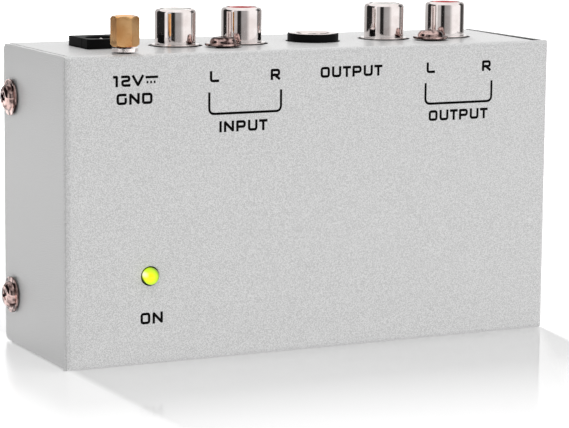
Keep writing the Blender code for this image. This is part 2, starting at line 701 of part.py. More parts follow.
def stereo_socket(plastic, nickel, gold):
    """Open-sided moulded socket with a plated bushing in its nose and a spring at each side."""
    x = STEREO_SHARE * CASE_LENGTH
    high, low = SEAT_UNDER - PANEL_TOP, SEAT_UNDER - PANEL_TOP - STEREO_LENGTH
    half, back = STEREO_WIDTH / 2, BOARD_SEAT_Y - JACK_Y
    shape = bmesh.new()
    add_box(shape, (-half, -STEREO_FRONT, low), (half, back, high))
    body = piece("stereo_jack_body", shape, plastic)
    nose = bmesh.new()
    add_rod(nose, (0, 0, high - SHEET), (0, 0, STEREO_PROUD), STEREO_NOSE_RADIUS, STEREO_STEPS)
    combine(body, "UNION", nose)

    bushing_low = -BUSHING_DEPTH
    spring_x = half - SPRING_INSET
    window_low = low + WINDOW_WALL
    window_high = window_low + WINDOW_LENGTH
    pin_z = window_high - 2 * PIN_RADIUS - FIT
    sleeve_z = bushing_low + 2 * PIN_RADIUS
    pin_end = PIN_END_Y - JACK_Y
    tunnel = PIN_RADIUS + FIT
    bores = bmesh.new()
    seat = BUSHING_RADIUS + FIT
    add_rod(bores, (0, 0, bushing_low - FIT), (0, 0, STEREO_PROUD + OVERRUN), seat, STEREO_STEPS)
    combine(body, "DIFFERENCE", bores)
    bores = bmesh.new()
    bore_top = STEREO_PROUD + OVERRUN
    add_rod(bores, (0, 0, low - OVERRUN), (0, 0, bore_top), PLUG_BORE_RADIUS, STEREO_STEPS)
    combine(body, "DIFFERENCE", bores)
    windows = bmesh.new()
    for side in (-1, 1):
        near, far = side * PLUG_BORE_RADIUS / 2, side * (half + OVERRUN)
        first = (min(near, far), -WINDOW_HALF_WIDTH, window_low)
        add_box(windows, first, (max(near, far), WINDOW_HALF_WIDTH, window_high))
    combine(body, "DIFFERENCE", windows)
    tunnels = bmesh.new()
    for side in (-1, 1):
        start = (side * spring_x, 0, pin_z)
        add_rod(tunnels, start, (side * spring_x, back + OVERRUN, pin_z), tunnel)
    start = (0, seat - FIT, sleeve_z)
    add_rod(tunnels, start, (0, back + OVERRUN, sleeve_z), tunnel)
    combine(body, "DIFFERENCE", tunnels)
    settle(body)
    place(body, (x, JACK_Y, PANEL_TOP))

    top = STEREO_PROUD + BUSHING_LIP
    profile = [
        (BUSHING_RADIUS - BUSHING_CHAMFER, top),
        (BUSHING_RADIUS, top - BUSHING_CHAMFER),
        (BUSHING_RADIUS, bushing_low),
        (BUSHING_BORE_RADIUS, bushing_low),
        (BUSHING_BORE_RADIUS, top - BUSHING_CHAMFER),
        (BUSHING_BORE_RADIUS + BUSHING_CHAMFER, top),
    ]
    bushing = turned("stereo_jack_bushing", profile, nickel, STEREO_STEPS, ring=True)
    tail = bmesh.new()
    wall_middle = (BUSHING_RADIUS + BUSHING_BORE_RADIUS) / 2
    add_rod(tail, (0, wall_middle, sleeve_z), (0, pin_end, sleeve_z), PIN_RADIUS)
    combine(bushing, "UNION", tail)
    settle(bushing)
    place(bushing, (x, JACK_Y, PANEL_TOP))
    through_board(x, PANEL_TOP + sleeve_z)

    press_x = PLUG_BORE_RADIUS - SPRING_PRESS
    for name, side, press_share in (("tip", -1, TIP_PRESS_SHARE), ("ring", 1, RING_PRESS_SHARE)):
        press_z = window_high - press_share * WINDOW_LENGTH
        points = [
            (side * spring_x, window_high - FIT),
            (side * spring_x, press_z + SPRING_FOLD),
            (side * press_x, press_z),
            (side * (press_x + SPRING_PRESS), press_z - SPRING_FOLD / 2),
        ]
        start, end = (side * spring_x, 0, pin_z), (side * spring_x, pin_end, pin_z)
        width = 2 * (WINDOW_HALF_WIDTH - FIT)
        spring = contact_spring(f"stereo_jack_{name}_contact", points, width, start, end, gold)
        place(settle(spring), (x, JACK_Y, PANEL_TOP))
        through_board(x + side * spring_x, PANEL_TOP + pin_z)


def power_socket(plastic, nickel):
    """Square-nosed power socket with a centre pin and a side spring."""
    x = POWER_SHARE * CASE_LENGTH
    half, front, back = POWER_WIDTH / 2, -POWER_FRONT, BOARD_SEAT_Y - POWER_Y
    high, low = POWER_PROUD, POWER_PROUD - POWER_LENGTH
    floor = high - POWER_BORE_DEPTH
    shape = bmesh.new()
    add_box(shape, (-half, front, low), (half, back, high))
    corners = [edge for edge in shape.edges if all(vert.co.y < 0 for vert in edge.verts)]
    corners = [edge for edge in corners if abs(edge.verts[0].co.z - edge.verts[1].co.z) > OVERRUN]
    bmesh.ops.bevel(
        shape, geom=corners, offset=POWER_CORNER, segments=RIM_STEPS, profile=0.5, affect="EDGES"
    )
    body = piece("power_jack_body", shape, plastic)
    bores = bmesh.new()
    add_rod(bores, (0, 0, floor), (0, 0, high + OVERRUN), POWER_BORE_RADIUS, POWER_STEPS)
    combine(body, "DIFFERENCE", bores)
    pin_hole = bmesh.new()
    pin_clear = POWER_PIN_RADIUS + FIT
    add_rod(pin_hole, (0, 0, low - OVERRUN), (0, 0, floor + OVERRUN), pin_clear, CONTACT_STEPS)
    combine(body, "DIFFERENCE", pin_hole)
    window = bmesh.new()
    window_high = floor + POWER_WINDOW_LENGTH
    first = (POWER_BORE_RADIUS / 2, -POWER_WINDOW_HALF_WIDTH, floor)
    add_box(window, first, (half + OVERRUN, POWER_WINDOW_HALF_WIDTH, window_high))
    combine(body, "DIFFERENCE", window)
    spring_x = (POWER_BORE_RADIUS + half) / 2
    spring_z = window_high - 2 * PIN_RADIUS - FIT
    tunnel = bmesh.new()
    start = (spring_x, 0, spring_z)
    add_rod(tunnel, start, (spring_x, back + OVERRUN, spring_z), PIN_RADIUS + FIT)
    combine(body, "DIFFERENCE", tunnel)
    settle(body)
    at = (x, POWER_Y, PANEL_TOP)
    place(body, at)

    pin_top = high - POWER_PIN_RECESS
    pin_low = low - POWER_PIN_TAIL
    profile = [
        *arc(0, pin_top - POWER_PIN_RADIUS, POWER_PIN_RADIUS, 90, 0, RIM_STEPS),
        (POWER_PIN_RADIUS, pin_low),
        (0, pin_low),
    ]
    pin = turned("power_jack_pin", profile, nickel, CONTACT_STEPS)
    pin_end = PIN_END_Y - POWER_Y
    tail_z = (low - FIT + pin_low) / 2
    tail = bmesh.new()
    add_rod(tail, (0, POWER_PIN_RADIUS / 2, tail_z), (0, pin_end, tail_z), PIN_RADIUS)
    combine(pin, "UNION", tail)
    place(settle(pin), at)
    through_board(x, PANEL_TOP + tail_z)

    press_x = POWER_BORE_RADIUS - SPRING_PRESS
    points = [
        (spring_x, window_high - FIT),
        (spring_x, floor + SPRING_FOLD + SPRING_FOLD),
        (press_x, floor + SPRING_FOLD),
        (press_x + SPRING_PRESS / 2, floor + SPRING_FOLD / 2),
    ]
    width = 2 * (POWER_WINDOW_HALF_WIDTH - FIT)
    end = (spring_x, pin_end, spring_z)
    spring = contact_spring("power_jack_contact", points, width, start, end, nickel)
    place(settle(spring), at)
    through_board(x + spring_x, PANEL_TOP + spring_z)


def ground_terminal(steel, nickel, brass):
    """A fixed stud with a split washer and a tall hexagonal nut that screws up and down on it."""
    at = Vector((GROUND_SHARE * CASE_LENGTH, GROUND_Y, PANEL_TOP))
    washer_top = -SHEET - FIT
    head_top = washer_top - LOCK_WASHER_THICKNESS - FIT
    profile = [
        (0, STUD_PROUD),
        (STUD_RADIUS, STUD_PROUD),
        (STUD_RADIUS, head_top),
        (STUD_HEAD_RADIUS, head_top),
        (STUD_HEAD_RADIUS, head_top - STUD_HEAD_HEIGHT),
        (0, head_top - STUD_HEAD_HEIGHT),
    ]
    place(settle(turned("ground_screw", profile, steel, SCREW_STEPS)), at)
    hole = STUD_HOLE_RADIUS
    profile = [
        (LOCK_WASHER_RADIUS, washer_top),
        (LOCK_WASHER_RADIUS, washer_top - LOCK_WASHER_THICKNESS),
        (hole, washer_top - LOCK_WASHER_THICKNESS),
        (hole, washer_top),
    ]
    place(settle(turned("ground_lock_washer", profile, steel, SCREW_STEPS, ring=True)), at)

    top = FIT + WASHER_THICKNESS
    profile = [(WASHER_RADIUS, top), (WASHER_RADIUS, FIT), (hole, FIT), (hole, top)]
    washer = turned("ground_washer", profile, nickel, NUT_STEPS, ring=True)
    split = bmesh.new()
    half = WASHER_SPLIT / 2
    add_box(split, (0, -half, FIT - OVERRUN), (WASHER_RADIUS + OVERRUN, half, top + OVERRUN))
    combine(washer, "DIFFERENCE", split)
    place(settle(washer), at)

    low, high = top + FIT, top + FIT + NUT_HEIGHT
    corner = NUT_ACROSS_FLATS / 2 / math.cos(math.pi / 6)
    face = corner - NUT_CHAMFER
    profile = [
        (face, high),
        (corner + OVERRUN, high - NUT_CHAMFER - OVERRUN),
        (corner + OVERRUN, low + NUT_CHAMFER + OVERRUN),
        (face, low),
        (hole, low),
        (hole, high),
    ]
    nut = turned("ground_nut", profile, brass, NUT_STEPS, ring=True)
    prism = bmesh.new()
    add_rod(prism, (0, 0, low - OVERRUN), (0, 0, high + OVERRUN), corner, 6)
    flat_turn = Matrix.Rotation(NUT_TURN, 4, "Z")
    bmesh.ops.transform(prism, matrix=flat_turn, verts=prism.verts)
    combine(nut, "INTERSECT", prism)
    place(settle(nut), at)


def power_lamp(lens, tin):
    """Round lamp that looks out through the front face, on two long legs from the board."""
    x = LAMP_SHARE * CASE_LENGTH
    tip_y = FRONT_Y - LAMP_PROUD
    dome = arc(0, -LAMP_RADIUS, LAMP_RADIUS, 90, 0, DOME_STEPS)
    rim_radius = LAMP_RADIUS + LAMP_RIM_WIDTH
    profile = [
        *dome,
        (LAMP_RADIUS, LAMP_RIM_THICKNESS - LAMP_LENGTH),
        (rim_radius, LAMP_RIM_THICKNESS - LAMP_LENGTH),
        (rim_radius, -LAMP_LENGTH),
        (0, -LAMP_LENGTH),
    ]
    lamp = settle(turned("power_lamp", profile, lens, LAMP_STEPS))
    place(lamp, (x, tip_y, LAMP_HEIGHT), (0, -1, 0))
    start = tip_y + LAMP_LENGTH + FIT
    for name, side in (("left", -1), ("right", 1)):
        leg_x = x + side * LAMP_LEG_SPACING / 2
        half = LAMP_LEG_HALF_WIDTH
        shape = bmesh.new()
        first = (leg_x - half, start, LAMP_HEIGHT - half)
        add_box(shape, first, (leg_x + half, PIN_END_Y, LAMP_HEIGHT + half))
        piece(f"power_lamp_{name}_leg", shape, tin)
        through_board(leg_x, LAMP_HEIGHT)


def can_capacitor(name, radius, height, finish):
    """Upright can with a rolled groove near its foot and two leads, standing along its own Z."""
    groove = radius - CAN_GROOVE_DEPTH
    foot = CAN_GROOVE_HEIGHT
    profile = [
        (0, height),
        (radius - CAN_EDGE, height),
        (radius, height - CAN_EDGE),
        (radius, foot + CAN_EDGE),
        (groove, foot),
        (radius, foot - CAN_EDGE),
        (radius, 0),
        (0, 0),
    ]
    can = turned(name, profile, finish, CAN_STEPS)
    leads = bmesh.new()
    reach = CAN_LEAD_SPACING_SHARE * radius / 2
    for side in (-1, 1):
        end = (side * reach, 0, BOARD_SEAT_Y - PIN_END_Y)
        add_rod(leads, (side * reach, 0, foot), end, PIN_RADIUS)
    combine(can, "UNION", leads)
    return settle(can)


def stand_can(source, name, shares, radius):
    """Stands a copy of a can on the board, and notes its two leads."""
    x, z = board_place(shares)
    copy(source, name, (x, BOARD_SEAT_Y, z), (0, -1, 0))
    for side in (-1, 1):
        through_board(x + side * CAN_LEAD_SPACING_SHARE * radius / 2, z)


def can_capacitors(sleeve):
    supply = can_capacitor("supply_can", SUPPLY_CAN_RADIUS, SUPPLY_CAN_HEIGHT, sleeve)
    stand_can(supply, "supply_capacitor", SUPPLY_CAN_SHARES, SUPPLY_CAN_RADIUS)
    small = can_capacitor("small_can", SMALL_CAN_RADIUS, SMALL_CAN_HEIGHT, sleeve)
    stand_can(small, "bias_capacitor", BIAS_CAN_SHARES, SMALL_CAN_RADIUS)
    for side, shares in zip(("left", "right"), OUTPUT_CAN_SHARES):
        stand_can(small, f"output_capacitor_{side}", shares, SMALL_CAN_RADIUS)
    bpy.data.objects.remove(supply)
    bpy.data.objects.remove(small)


def film_capacitors(film):
    """Four moulded box capacitors that shape the record curve, two for each channel."""
    width, height, depth = FILM_SIZE
    shape = bmesh.new()
    add_box(shape, (-width / 2, -height, -depth / 2), (width / 2, 0, depth / 2))
    raised = [edge for edge in shape.edges if any(vert.co.y < -height / 2 for vert in edge.verts)]
    bmesh.ops.bevel(shape, geom=raised, offset=FILM_EDGE, segments=1, profile=0.5, affect="EDGES")
    box = piece("film_box", shape, film)
    leads = bmesh.new()
    for side in (-1, 1):
        x = side * FILM_LEAD_SPACING / 2
        add_rod(leads, (x, -height / 2, 0), (x, PIN_END_Y - BOARD_SEAT_Y, 0), PIN_RADIUS)
    combine(box, "UNION", leads)
    settle(box)
    names = ("left_bass", "left_treble", "right_bass", "right_treble")
    for name, shares in zip(names, FILM_SHARES):
        x, z = board_place(shares)
        copy(box, f"equaliser_capacitor_{name}", (x, BOARD_SEAT_Y, z))
        for side in (-1, 1):
            through_board(x + side * FILM_LEAD_SPACING / 2, z)
    bpy.data.objects.remove(box)


def chips(moulding):
    """Two surface-mounted amplifiers, each a flat block with four short legs a side."""
    width, height, depth = CHIP_SIZE
    shape = bmesh.new()
    lift = CHIP_LEG_THICKNESS
    add_box(shape, (-width / 2, -height, -depth / 2), (width / 2, -lift, depth / 2))
    chip = piece("chip", shape, moulding)
    legs = bmesh.new()
    for side in (-1, 1):
        for leg in range(CHIP_LEGS_A_SIDE):
            x = (leg - (CHIP_LEGS_A_SIDE - 1) / 2) * CHIP_LEG_PITCH
            inner, outer = side * depth / 4, side * (depth / 2 + CHIP_LEG_REACH)
            first = (x - CHIP_LEG_WIDTH / 2, -2 * lift, min(inner, outer))
            add_box(legs, first, (x + CHIP_LEG_WIDTH / 2, 0, max(inner, outer)))
    combine(chip, "UNION", legs)
    settle(chip)
    for name, shares in (("input", INPUT_CHIP_SHARES), ("output", OUTPUT_CHIP_SHARES)):
        x, z = board_place(shares)
        copy(chip, f"{name}_amplifier_chip", (x, BOARD_SEAT_Y, z))
    bpy.data.objects.remove(chip)


def voltage_regulator(moulding):
    """Half-round moulded regulator that stands off the board on three legs."""
    x, z = board_place(REGULATOR_SHARES)
    low, high = REGULATOR_STANDOFF, REGULATOR_STANDOFF + REGULATOR_HEIGHT
    shape = bmesh.new()
    add_rod(shape, (0, 0, low), (0, 0, high), REGULATOR_RADIUS, CAN_STEPS)
    made = piece("voltage_regulator", shape, moulding)
    flat = bmesh.new()
    reach = REGULATOR_RADIUS + OVERRUN
    add_box(flat, (-reach, REGULATOR_FLAT, low - OVERRUN), (reach, reach, high + OVERRUN))
    combine(made, "DIFFERENCE", flat)
    legs = bmesh.new()
    for step in (-1, 0, 1):
        leg_x = step * REGULATOR_LEG_SPACING
        end = (leg_x, 0, BOARD_SEAT_Y - PIN_END_Y)
        add_rod(legs, (leg_x, 0, (low + high) / 2), end, REGULATOR_LEG_RADIUS)
        through_board(x + leg_x, z, REGULATOR_LEG_RADIUS)
    combine(made, "UNION", legs)
    place(settle(made), (x, BOARD_SEAT_Y, z), (0, -1, 0))


def protection_diode(moulding):
    """Small diode lying on the board, with its two leads bent down through it."""
    x, z = board_place(DIODE_SHARES)
    shape = bmesh.new()
    y = -DIODE_RADIUS
    half, span = DIODE_LENGTH / 2, DIODE_SPAN / 2
    add_rod(shape, (-half, y, 0), (half, y, 0), DIODE_RADIUS, CONTACT_STEPS)
    made = piece("protection_diode", shape, moulding)
    lead = bpy.data.curves.new("diode_lead", "CURVE")
    lead.dimensions = "3D"
    lead.bevel_depth = PIN_RADIUS
    lead.bevel_resolution = 1
    lead.use_fill_caps = True
    line = lead.splines.new("POLY")
    down = PIN_END_Y - BOARD_SEAT_Y
    route = [(-span, down, 0), (-span, y, 0), (span, y, 0), (span, down, 0)]
    line.points.add(len(route) - 1)
    for point, spot in zip(line.points, route):
        point.co = (*spot, 1)
    wire = bpy.data.objects.new("diode_lead", lead)
    CUTTERS.objects.link(wire)
    graph = bpy.context.evaluated_depsgraph_get()
    mesh = bpy.data.meshes.new_from_object(wire.evaluated_get(graph))
    bpy.data.objects.remove(wire)
    leads = bmesh.new()
    leads.from_mesh(mesh)
    bmesh.ops.remove_doubles(leads, verts=leads.verts, dist=MERGE)
    combine(made, "UNION", leads)
    place(settle(made), (x, BOARD_SEAT_Y, z))
    for side in (-1, 1):
        through_board(x + side * span, z)


def circuit_board(laminate):
    """The board behind the sockets, with a hole for every pin that goes through it."""
    half = BOARD_LENGTH / 2
    shape = bmesh.new()
    add_box(shape, (-half, BOARD_Y, BOARD_FOOT), (half, BOARD_BACK_Y, BOARD_TOP))
    board = piece("circuit_board", shape, laminate)
    holes = bmesh.new()
    for x, z, radius in board_pins:
        add_rod(holes, (x, BOARD_Y - OVERRUN, z), (x, BOARD_BACK_Y + OVERRUN, z), radius)
    combine(board, "DIFFERENCE", holes)


for leftover in list(bpy.data.objects):
    bpy.data.objects.remove(leftover)
PARTS = collection("phono_preamplifier", hidden=False)
CUTTERS = collection("cutters", hidden=True)

coat = material("case_coat", (203, 203, 202), roughness=0.55)
cover_coat = material("cover_coat", (200, 200, 199), roughness=0.55)
nickel = material("nickel", (196, 190, 186), roughness=0.12, metallic=1.0)
screw_steel = material("screw_steel", (176, 170, 168), roughness=0.22, metallic=1.0)
gold = material("contact_gold", (214, 176, 96), roughness=0.25, metallic=1.0)
brass = material("brass", (200, 152, 92), roughness=0.3, metallic=1.0)
tin = material("tin", (190, 190, 188), roughness=0.35, metallic=1.0)
black = material("black_moulding", (26, 26, 27), roughness=0.42)
chip_black = material("chip_moulding", (34, 34, 36), roughness=0.5)
sleeve = material("can_sleeve", (30, 34, 44), roughness=0.35)
film = material("film_box", (150, 38, 30), roughness=0.4)
laminate = material("board_laminate", (24, 84, 52), roughness=0.4)
lens = material("lamp_lens", (196, 255, 24), roughness=0.15, glow=1.0)
insulators = {
    "left": material("white_insulator", (232, 230, 226), roughness=0.4),
    "right": material("red_insulator", (188, 22, 28), roughness=0.4),
}

case_tray(coat)
back_cover(cover_coat)
cover_screws(screw_steel)
phono_sockets(nickel, gold, insulators)
phono_blocks(black, screw_steel)
stereo_socket(black, nickel, gold)
power_socket(black, nickel)
ground_terminal(screw_steel, nickel, brass)
power_lamp(lens, tin)
can_capacitors(sleeve)
film_capacitors(film)
chips(chip_black)
voltage_regulator(chip_black)
protection_diode(chip_black)
circuit_board(laminate)
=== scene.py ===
# %% [markdown]
# # A small phono preamplifier
# The box in this lesson sits between a record player and an amplifier. It is a folded steel case
# with a row of sockets along its upper face, a ground terminal, and a lamp that shows it is on.
# Its solid pieces come from a packed model, which is loaded first as a fixed frame. Everything made
# here is fitted to that frame, so that the sizes stay those of the real object.

import json
import math

import bmesh
import bpy
from mathutils import Matrix, Vector


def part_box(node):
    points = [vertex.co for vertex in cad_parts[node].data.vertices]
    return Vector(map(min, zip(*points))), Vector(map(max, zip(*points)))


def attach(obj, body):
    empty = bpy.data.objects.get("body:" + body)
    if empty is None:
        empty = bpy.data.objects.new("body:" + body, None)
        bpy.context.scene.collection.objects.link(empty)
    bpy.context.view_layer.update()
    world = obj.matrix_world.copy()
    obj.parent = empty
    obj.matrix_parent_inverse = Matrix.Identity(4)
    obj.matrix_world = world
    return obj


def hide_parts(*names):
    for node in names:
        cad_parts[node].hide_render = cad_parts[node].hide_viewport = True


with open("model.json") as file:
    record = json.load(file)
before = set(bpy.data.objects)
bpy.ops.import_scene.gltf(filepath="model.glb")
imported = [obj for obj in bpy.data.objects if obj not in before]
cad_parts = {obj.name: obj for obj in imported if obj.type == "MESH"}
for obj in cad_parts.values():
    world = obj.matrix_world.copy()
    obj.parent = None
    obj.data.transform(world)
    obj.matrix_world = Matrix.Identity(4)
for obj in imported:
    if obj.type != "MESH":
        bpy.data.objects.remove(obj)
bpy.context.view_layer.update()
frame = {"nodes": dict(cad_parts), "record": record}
NODES = frame["nodes"]
RECORD = frame["record"]
BODY_OF = {
    node: body for body, members in RECORD["behaviour"]["bodies"].items() for node in members
}
SLOT_OF = {part["node"]: part["material_slot"] for part in RECORD["subparts"]}

# %% [markdown]
# ## The camera
# The photograph was taken with a long lens from the left of the box and a little above it. The
# angles below were found by fitting the case's corners to the picture, so a render can be laid over
# the photograph. The camera's own axes are worked out from a turn, a dip and a small roll.

# %% Camera
MM = 0.001
IMAGE_WIDTH = 569
SENSOR_WIDTH = 36.0
FOCAL_PIXELS = 2460.17
CAMERA_TURN = 0.464076
CAMERA_DIP = 0.154913
CAMERA_ROLL = 0.0090415
CAMERA_DISTANCE = 518.62 * MM
CAMERA_TARGET = Vector((1.032, 0, 25.603)) * MM

ahead = Vector((math.sin(CAMERA_TURN), math.cos(CAMERA_TURN), 0))
level = Vector((math.cos(CAMERA_TURN), -math.sin(CAMERA_TURN), 0))
sight = ahead * math.cos(CAMERA_DIP) - Vector((0, 0, math.sin(CAMERA_DIP)))
upright = level.cross(sight)
right = level * math.cos(CAMERA_ROLL) + upright * math.sin(CAMERA_ROLL)
up = upright * math.cos(CAMERA_ROLL) - level * math.sin(CAMERA_ROLL)
lens = bpy.data.cameras.new("photo_camera")
lens.sensor_width = SENSOR_WIDTH
lens.lens = FOCAL_PIXELS * SENSOR_WIDTH / IMAGE_WIDTH
camera = bpy.data.objects.new("photo_camera", lens)
bpy.context.scene.collection.objects.link(camera)
turn = Matrix((right, up, -sight)).transposed().to_4x4()
camera.matrix_world = Matrix.Translation(CAMERA_TARGET - sight * CAMERA_DISTANCE) @ turn
bpy.context.scene.camera = camera
bpy.context.scene.view_settings.view_transform = "Standard"
print(f"lens {lens.lens:.1f} mm at {CAMERA_DISTANCE * 1000:.0f} mm")

# %% [markdown]
# ## Writing shader nodes as sums
# A material is a tree of nodes. Written as bare calls it is long and hard to read, so a small class
# wraps a socket and lets plus, minus, times and divide add the Math nodes. One method makes any
# other node from its type, its settings and its values.

# %% Colours
def tone(red, green, blue):
    """A colour as it looks on a screen, from 0 to 255, turned into light levels."""
    levels = []
    for value in (red / 255, green / 255, blue / 255):
        levels.append(value / 12.92 if value <= 0.04045 else ((value + 0.055) / 1.055) ** 2.4)
    return (*levels, 1.0)


def grey(level_value):
    return (level_value, level_value, level_value, 1.0)


print("middle grey on a screen is a light level of", round(tone(128, 128, 128)[0], 3))

# %% Sums of sockets
def find_socket(sockets, key):
    if isinstance(key, int):
        return sockets[key]
    exact = [socket for socket in sockets if socket.identifier == key]
    return exact[0] if exact else next(socket for socket in sockets if socket.name == key)


class Wire:
    """One output of a node. Sums on it add Math nodes to its tree."""

    def __init__(self, tree, socket):
        self.tree = tree
        self.socket = socket

    def __add__(self, other):
        return self.tree.maths("ADD", self, other)

    def __radd__(self, other):
        return self.tree.maths("ADD", other, self)

    def __sub__(self, other):
        return self.tree.maths("SUBTRACT", self, other)

    def __rsub__(self, other):
        return self.tree.maths("SUBTRACT", other, self)

    def __mul__(self, other):
        return self.tree.maths("MULTIPLY", self, other)

    def __rmul__(self, other):
        return self.tree.maths("MULTIPLY", other, self)

    def __truediv__(self, other):
        return self.tree.maths("DIVIDE", self, other)

    def __rtruediv__(self, other):
        return self.tree.maths("DIVIDE", other, self)


print("sums:", [name for name in vars(Wire) if name.startswith("__r")])

# %% Trees of nodes
class Tree:
    """A node tree of a material or a world, with the few calls that the finishes need."""

    def __init__(self, owner):
        owner.use_nodes = True
        self.nodes = owner.node_tree.nodes
        self.links = owner.node_tree.links

    def maths(self, operation, first, second):
        return self.node("ShaderNodeMath", {"operation": operation}, {0: first, 1: second})

    def feed(self, node, key, value):
        socket = find_socket(node.inputs, key)
        if isinstance(value, Wire):
            self.links.new(value.socket, socket)
        else:
            socket.default_value = value

    def node(self, kind, settings=None, values=None, output=0):
        made = self.nodes.new(kind)
        for name, value in (settings or {}).items():
            if name == "stops":
                while len(made.color_ramp.elements) < len(value):
                    made.color_ramp.elements.new(1.0)
                for element, (place, colour) in zip(made.color_ramp.elements, value):
                    element.position = place
                    element.color = colour
            else:
                setattr(made, name, value)
        for key, value in (values or {}).items():
            self.feed(made, key, value)
        return Wire(self, find_socket(made.outputs, output))

    def here(self):
        return self.node("ShaderNodeTexCoord", output="Object")

    def outward(self):
        return self.node("ShaderNodeNewGeometry", output="Normal")

    def part_of(self, vector, axis):
        return self.node("ShaderNodeSeparateXYZ", None, {0: vector}, output=axis)

    def stretched(self, scale):
        return self.node("ShaderNodeMapping", None, {"Vector": self.here(), "Scale": scale})

    def noise(self, size, detail=2.0, vector=None):
        """Soft random spots of about a given size in metres."""
        values = {"Vector": vector or self.here(), "Scale": 1 / size, "Detail": detail}
        return self.node("ShaderNodeTexNoise", None, values, output="Fac")

    def between(self, value, low, high):
        """A value taken from a range to 0 to 1, and held inside it."""
        values = {"Value": value, "From Min": low, "From Max": high}
        return self.node("ShaderNodeMapRange", {"interpolation_type": "SMOOTHSTEP"}, values)

    def mix(self, share, first, second):
        values = {"Factor_Float": share, "A_Color": first, "B_Color": second}
        return self.node("ShaderNodeMix", {"data_type": "RGBA"}, values, output="Result_Color")

    def bump(self, height, depth, strength=1.0):
        values = {"Height": height, "Distance": depth, "Strength": strength}
        return self.node("ShaderNodeBump", None, values)

    def dot(self, vector, fixed):
        values = {0: vector, 1: fixed}
        return self.node("ShaderNodeVectorMath", {"operation": "DOT_PRODUCT"}, values, output="Value")

    def length(self, vector):
        return self.node("ShaderNodeVectorMath", {"operation": "LENGTH"}, {0: vector}, output="Value")

    def gap_to(self, spot):
        """The distance to a spot, measured in the plane of the front face."""
        centred = self.node("ShaderNodeMapping", None, {"Vector": self.here(), "Location": -spot})
        values = {0: centred, 1: (1, 0, 1)}
        return self.length(self.node("ShaderNodeVectorMath", {"operation": "MULTIPLY"}, values))


def new_finish(name, **sockets):
    """A material with its Principled shader's plain values set, and its tree."""
    made = bpy.data.materials.new(name)
    tree = Tree(made)
    shader = tree.nodes["Principled BSDF"]
    for key, value in sockets.items():
        tree.feed(shader, key.replace("_", " "), value)
    return made, tree, shader


print("calls:", [name for name in vars(Tree) if not name.startswith("_")])

# %% [markdown]
# ## The case's powder coat
# The steel is coated with a pale grey powder that is baked until it flows together. It leaves a fine
# grain, about a fifth of a millimetre across, that catches the light. One noise at that size does
# both jobs: it shifts the colour by a few levels, and it raises the surface by a few hundredths of a
# millimetre. A second, much wider, keeps large faces from looking printed. The tray's inner faces,
# which show through its seams and holes, are painted dark as painted shade. They are found by how far
# they lie inside the case, and the walls of seams by the way they face.

# %% Depth inside the case
def depth_inside(tree):
    """How far a point lies inside the outer faces of the case, from its nearest face."""
    place = tree.here()
    low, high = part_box("case_tray")
    depths = []
    for axis, start, end in zip("XYZ", low, high):
        spot = tree.part_of(place, axis)
        depths.append(spot - start)
        if axis != "Y":
            depths.append(end - spot)
    nearest = depths[0]
    for depth in depths[1:]:
        nearest = tree.maths("MINIMUM", nearest, depth)
    return nearest


# %% Powder coat
COAT_GRAIN = 0.2 * MM
COAT_DEPTH = 0.03 * MM
GRAIN_LOW, GRAIN_HIGH = 0.38, 0.62
GRAIN_SHARE = 0.93
DRIFT_SIZE = 30 * MM
COAT_ROUGH, GRAIN_ROUGH = 0.4, 0.16
INSIDE_SHADE_DEPTH = 0.7 * MM
INSIDE_SHADE_FADE = 0.1 * MM
SEAM_SHADE_DEPTH = 0.2 * MM
SIDEWAYS_LOW, SIDEWAYS_HIGH = 0.9, 0.95
# painted shade: the dark tone given to inner faces and seam walls of the case
INSIDE_SHADE_TONE = tone(34, 34, 35)


def powder_coat(name, pale, dark, paint_inside_shade=False):
    made, tree, shader = new_finish(
        name, Specular_IOR_Level=0.4, Coat_Weight=0.4, Coat_Roughness=0.2
    )
    grain = tree.noise(COAT_GRAIN, detail=3.0)
    drift = tree.noise(DRIFT_SIZE)
    share = tree.between(grain, GRAIN_LOW, GRAIN_HIGH) * GRAIN_SHARE + drift * (1 - GRAIN_SHARE)
    coat = tree.mix(share, dark, pale)
    # painted shade: inner faces of the case and the walls of its seams are darkened where shade falls
    if paint_inside_shade:
        depth = depth_inside(tree)
        sideways = tree.maths("ABSOLUTE", tree.dot(tree.outward(), (1, 0, 0)), 0)
        wall = tree.between(sideways, SIDEWAYS_LOW, SIDEWAYS_HIGH)
        wall = wall * tree.between(depth, SEAM_SHADE_DEPTH / 2, SEAM_SHADE_DEPTH)
        inside_shade_mask = tree.maths("MAXIMUM", wall, tree.between(depth, INSIDE_SHADE_DEPTH - INSIDE_SHADE_FADE, INSIDE_SHADE_DEPTH))
        coat = tree.mix(inside_shade_mask, coat, INSIDE_SHADE_TONE)
    tree.feed(shader, "Base Color", coat)
    tree.feed(shader, "Roughness", COAT_ROUGH + grain * GRAIN_ROUGH)
    tree.feed(shader, "Normal", tree.bump(grain, COAT_DEPTH, strength=0.8))
    return made


FINISHES = {
    "case_coat": powder_coat(
        "case_coat", tone(223, 223, 223), tone(187, 187, 187), paint_inside_shade=True
    ),
    "cover_coat": powder_coat("cover_coat", tone(221, 221, 221), tone(185, 185, 185)),
}
print("powder coats:", list(FINISHES))

# %% [markdown]
# ## Bright plate, brass and gold
# The sockets are plated with nickel, the screws with zinc, and the nut is turned from brass. All of
# them are metallic shaders, so their colour tints what they mirror. Bare metal is never even: fine
# turning marks run round it, and handling leaves it duller in soft patches. The marks are a noise
# squeezed along the height. The patches move the roughness a little and the colour more, most of all
# on the screws, where they run from pale to nearly black: partly a mottled zinc and partly a painted
# dark reflection. A dark line is painted where a piece sits down on the case, as painted shade for
# the narrow gap there.

# %% Metals
MARK_SIZE = 0.5 * MM
PATCH_SIZE = 3 * MM
MARK_DEPTH = 0.002 * MM
MARK_STRETCH = (1, 1, 9)
SEAT_SHADE = tone(24, 18, 18)


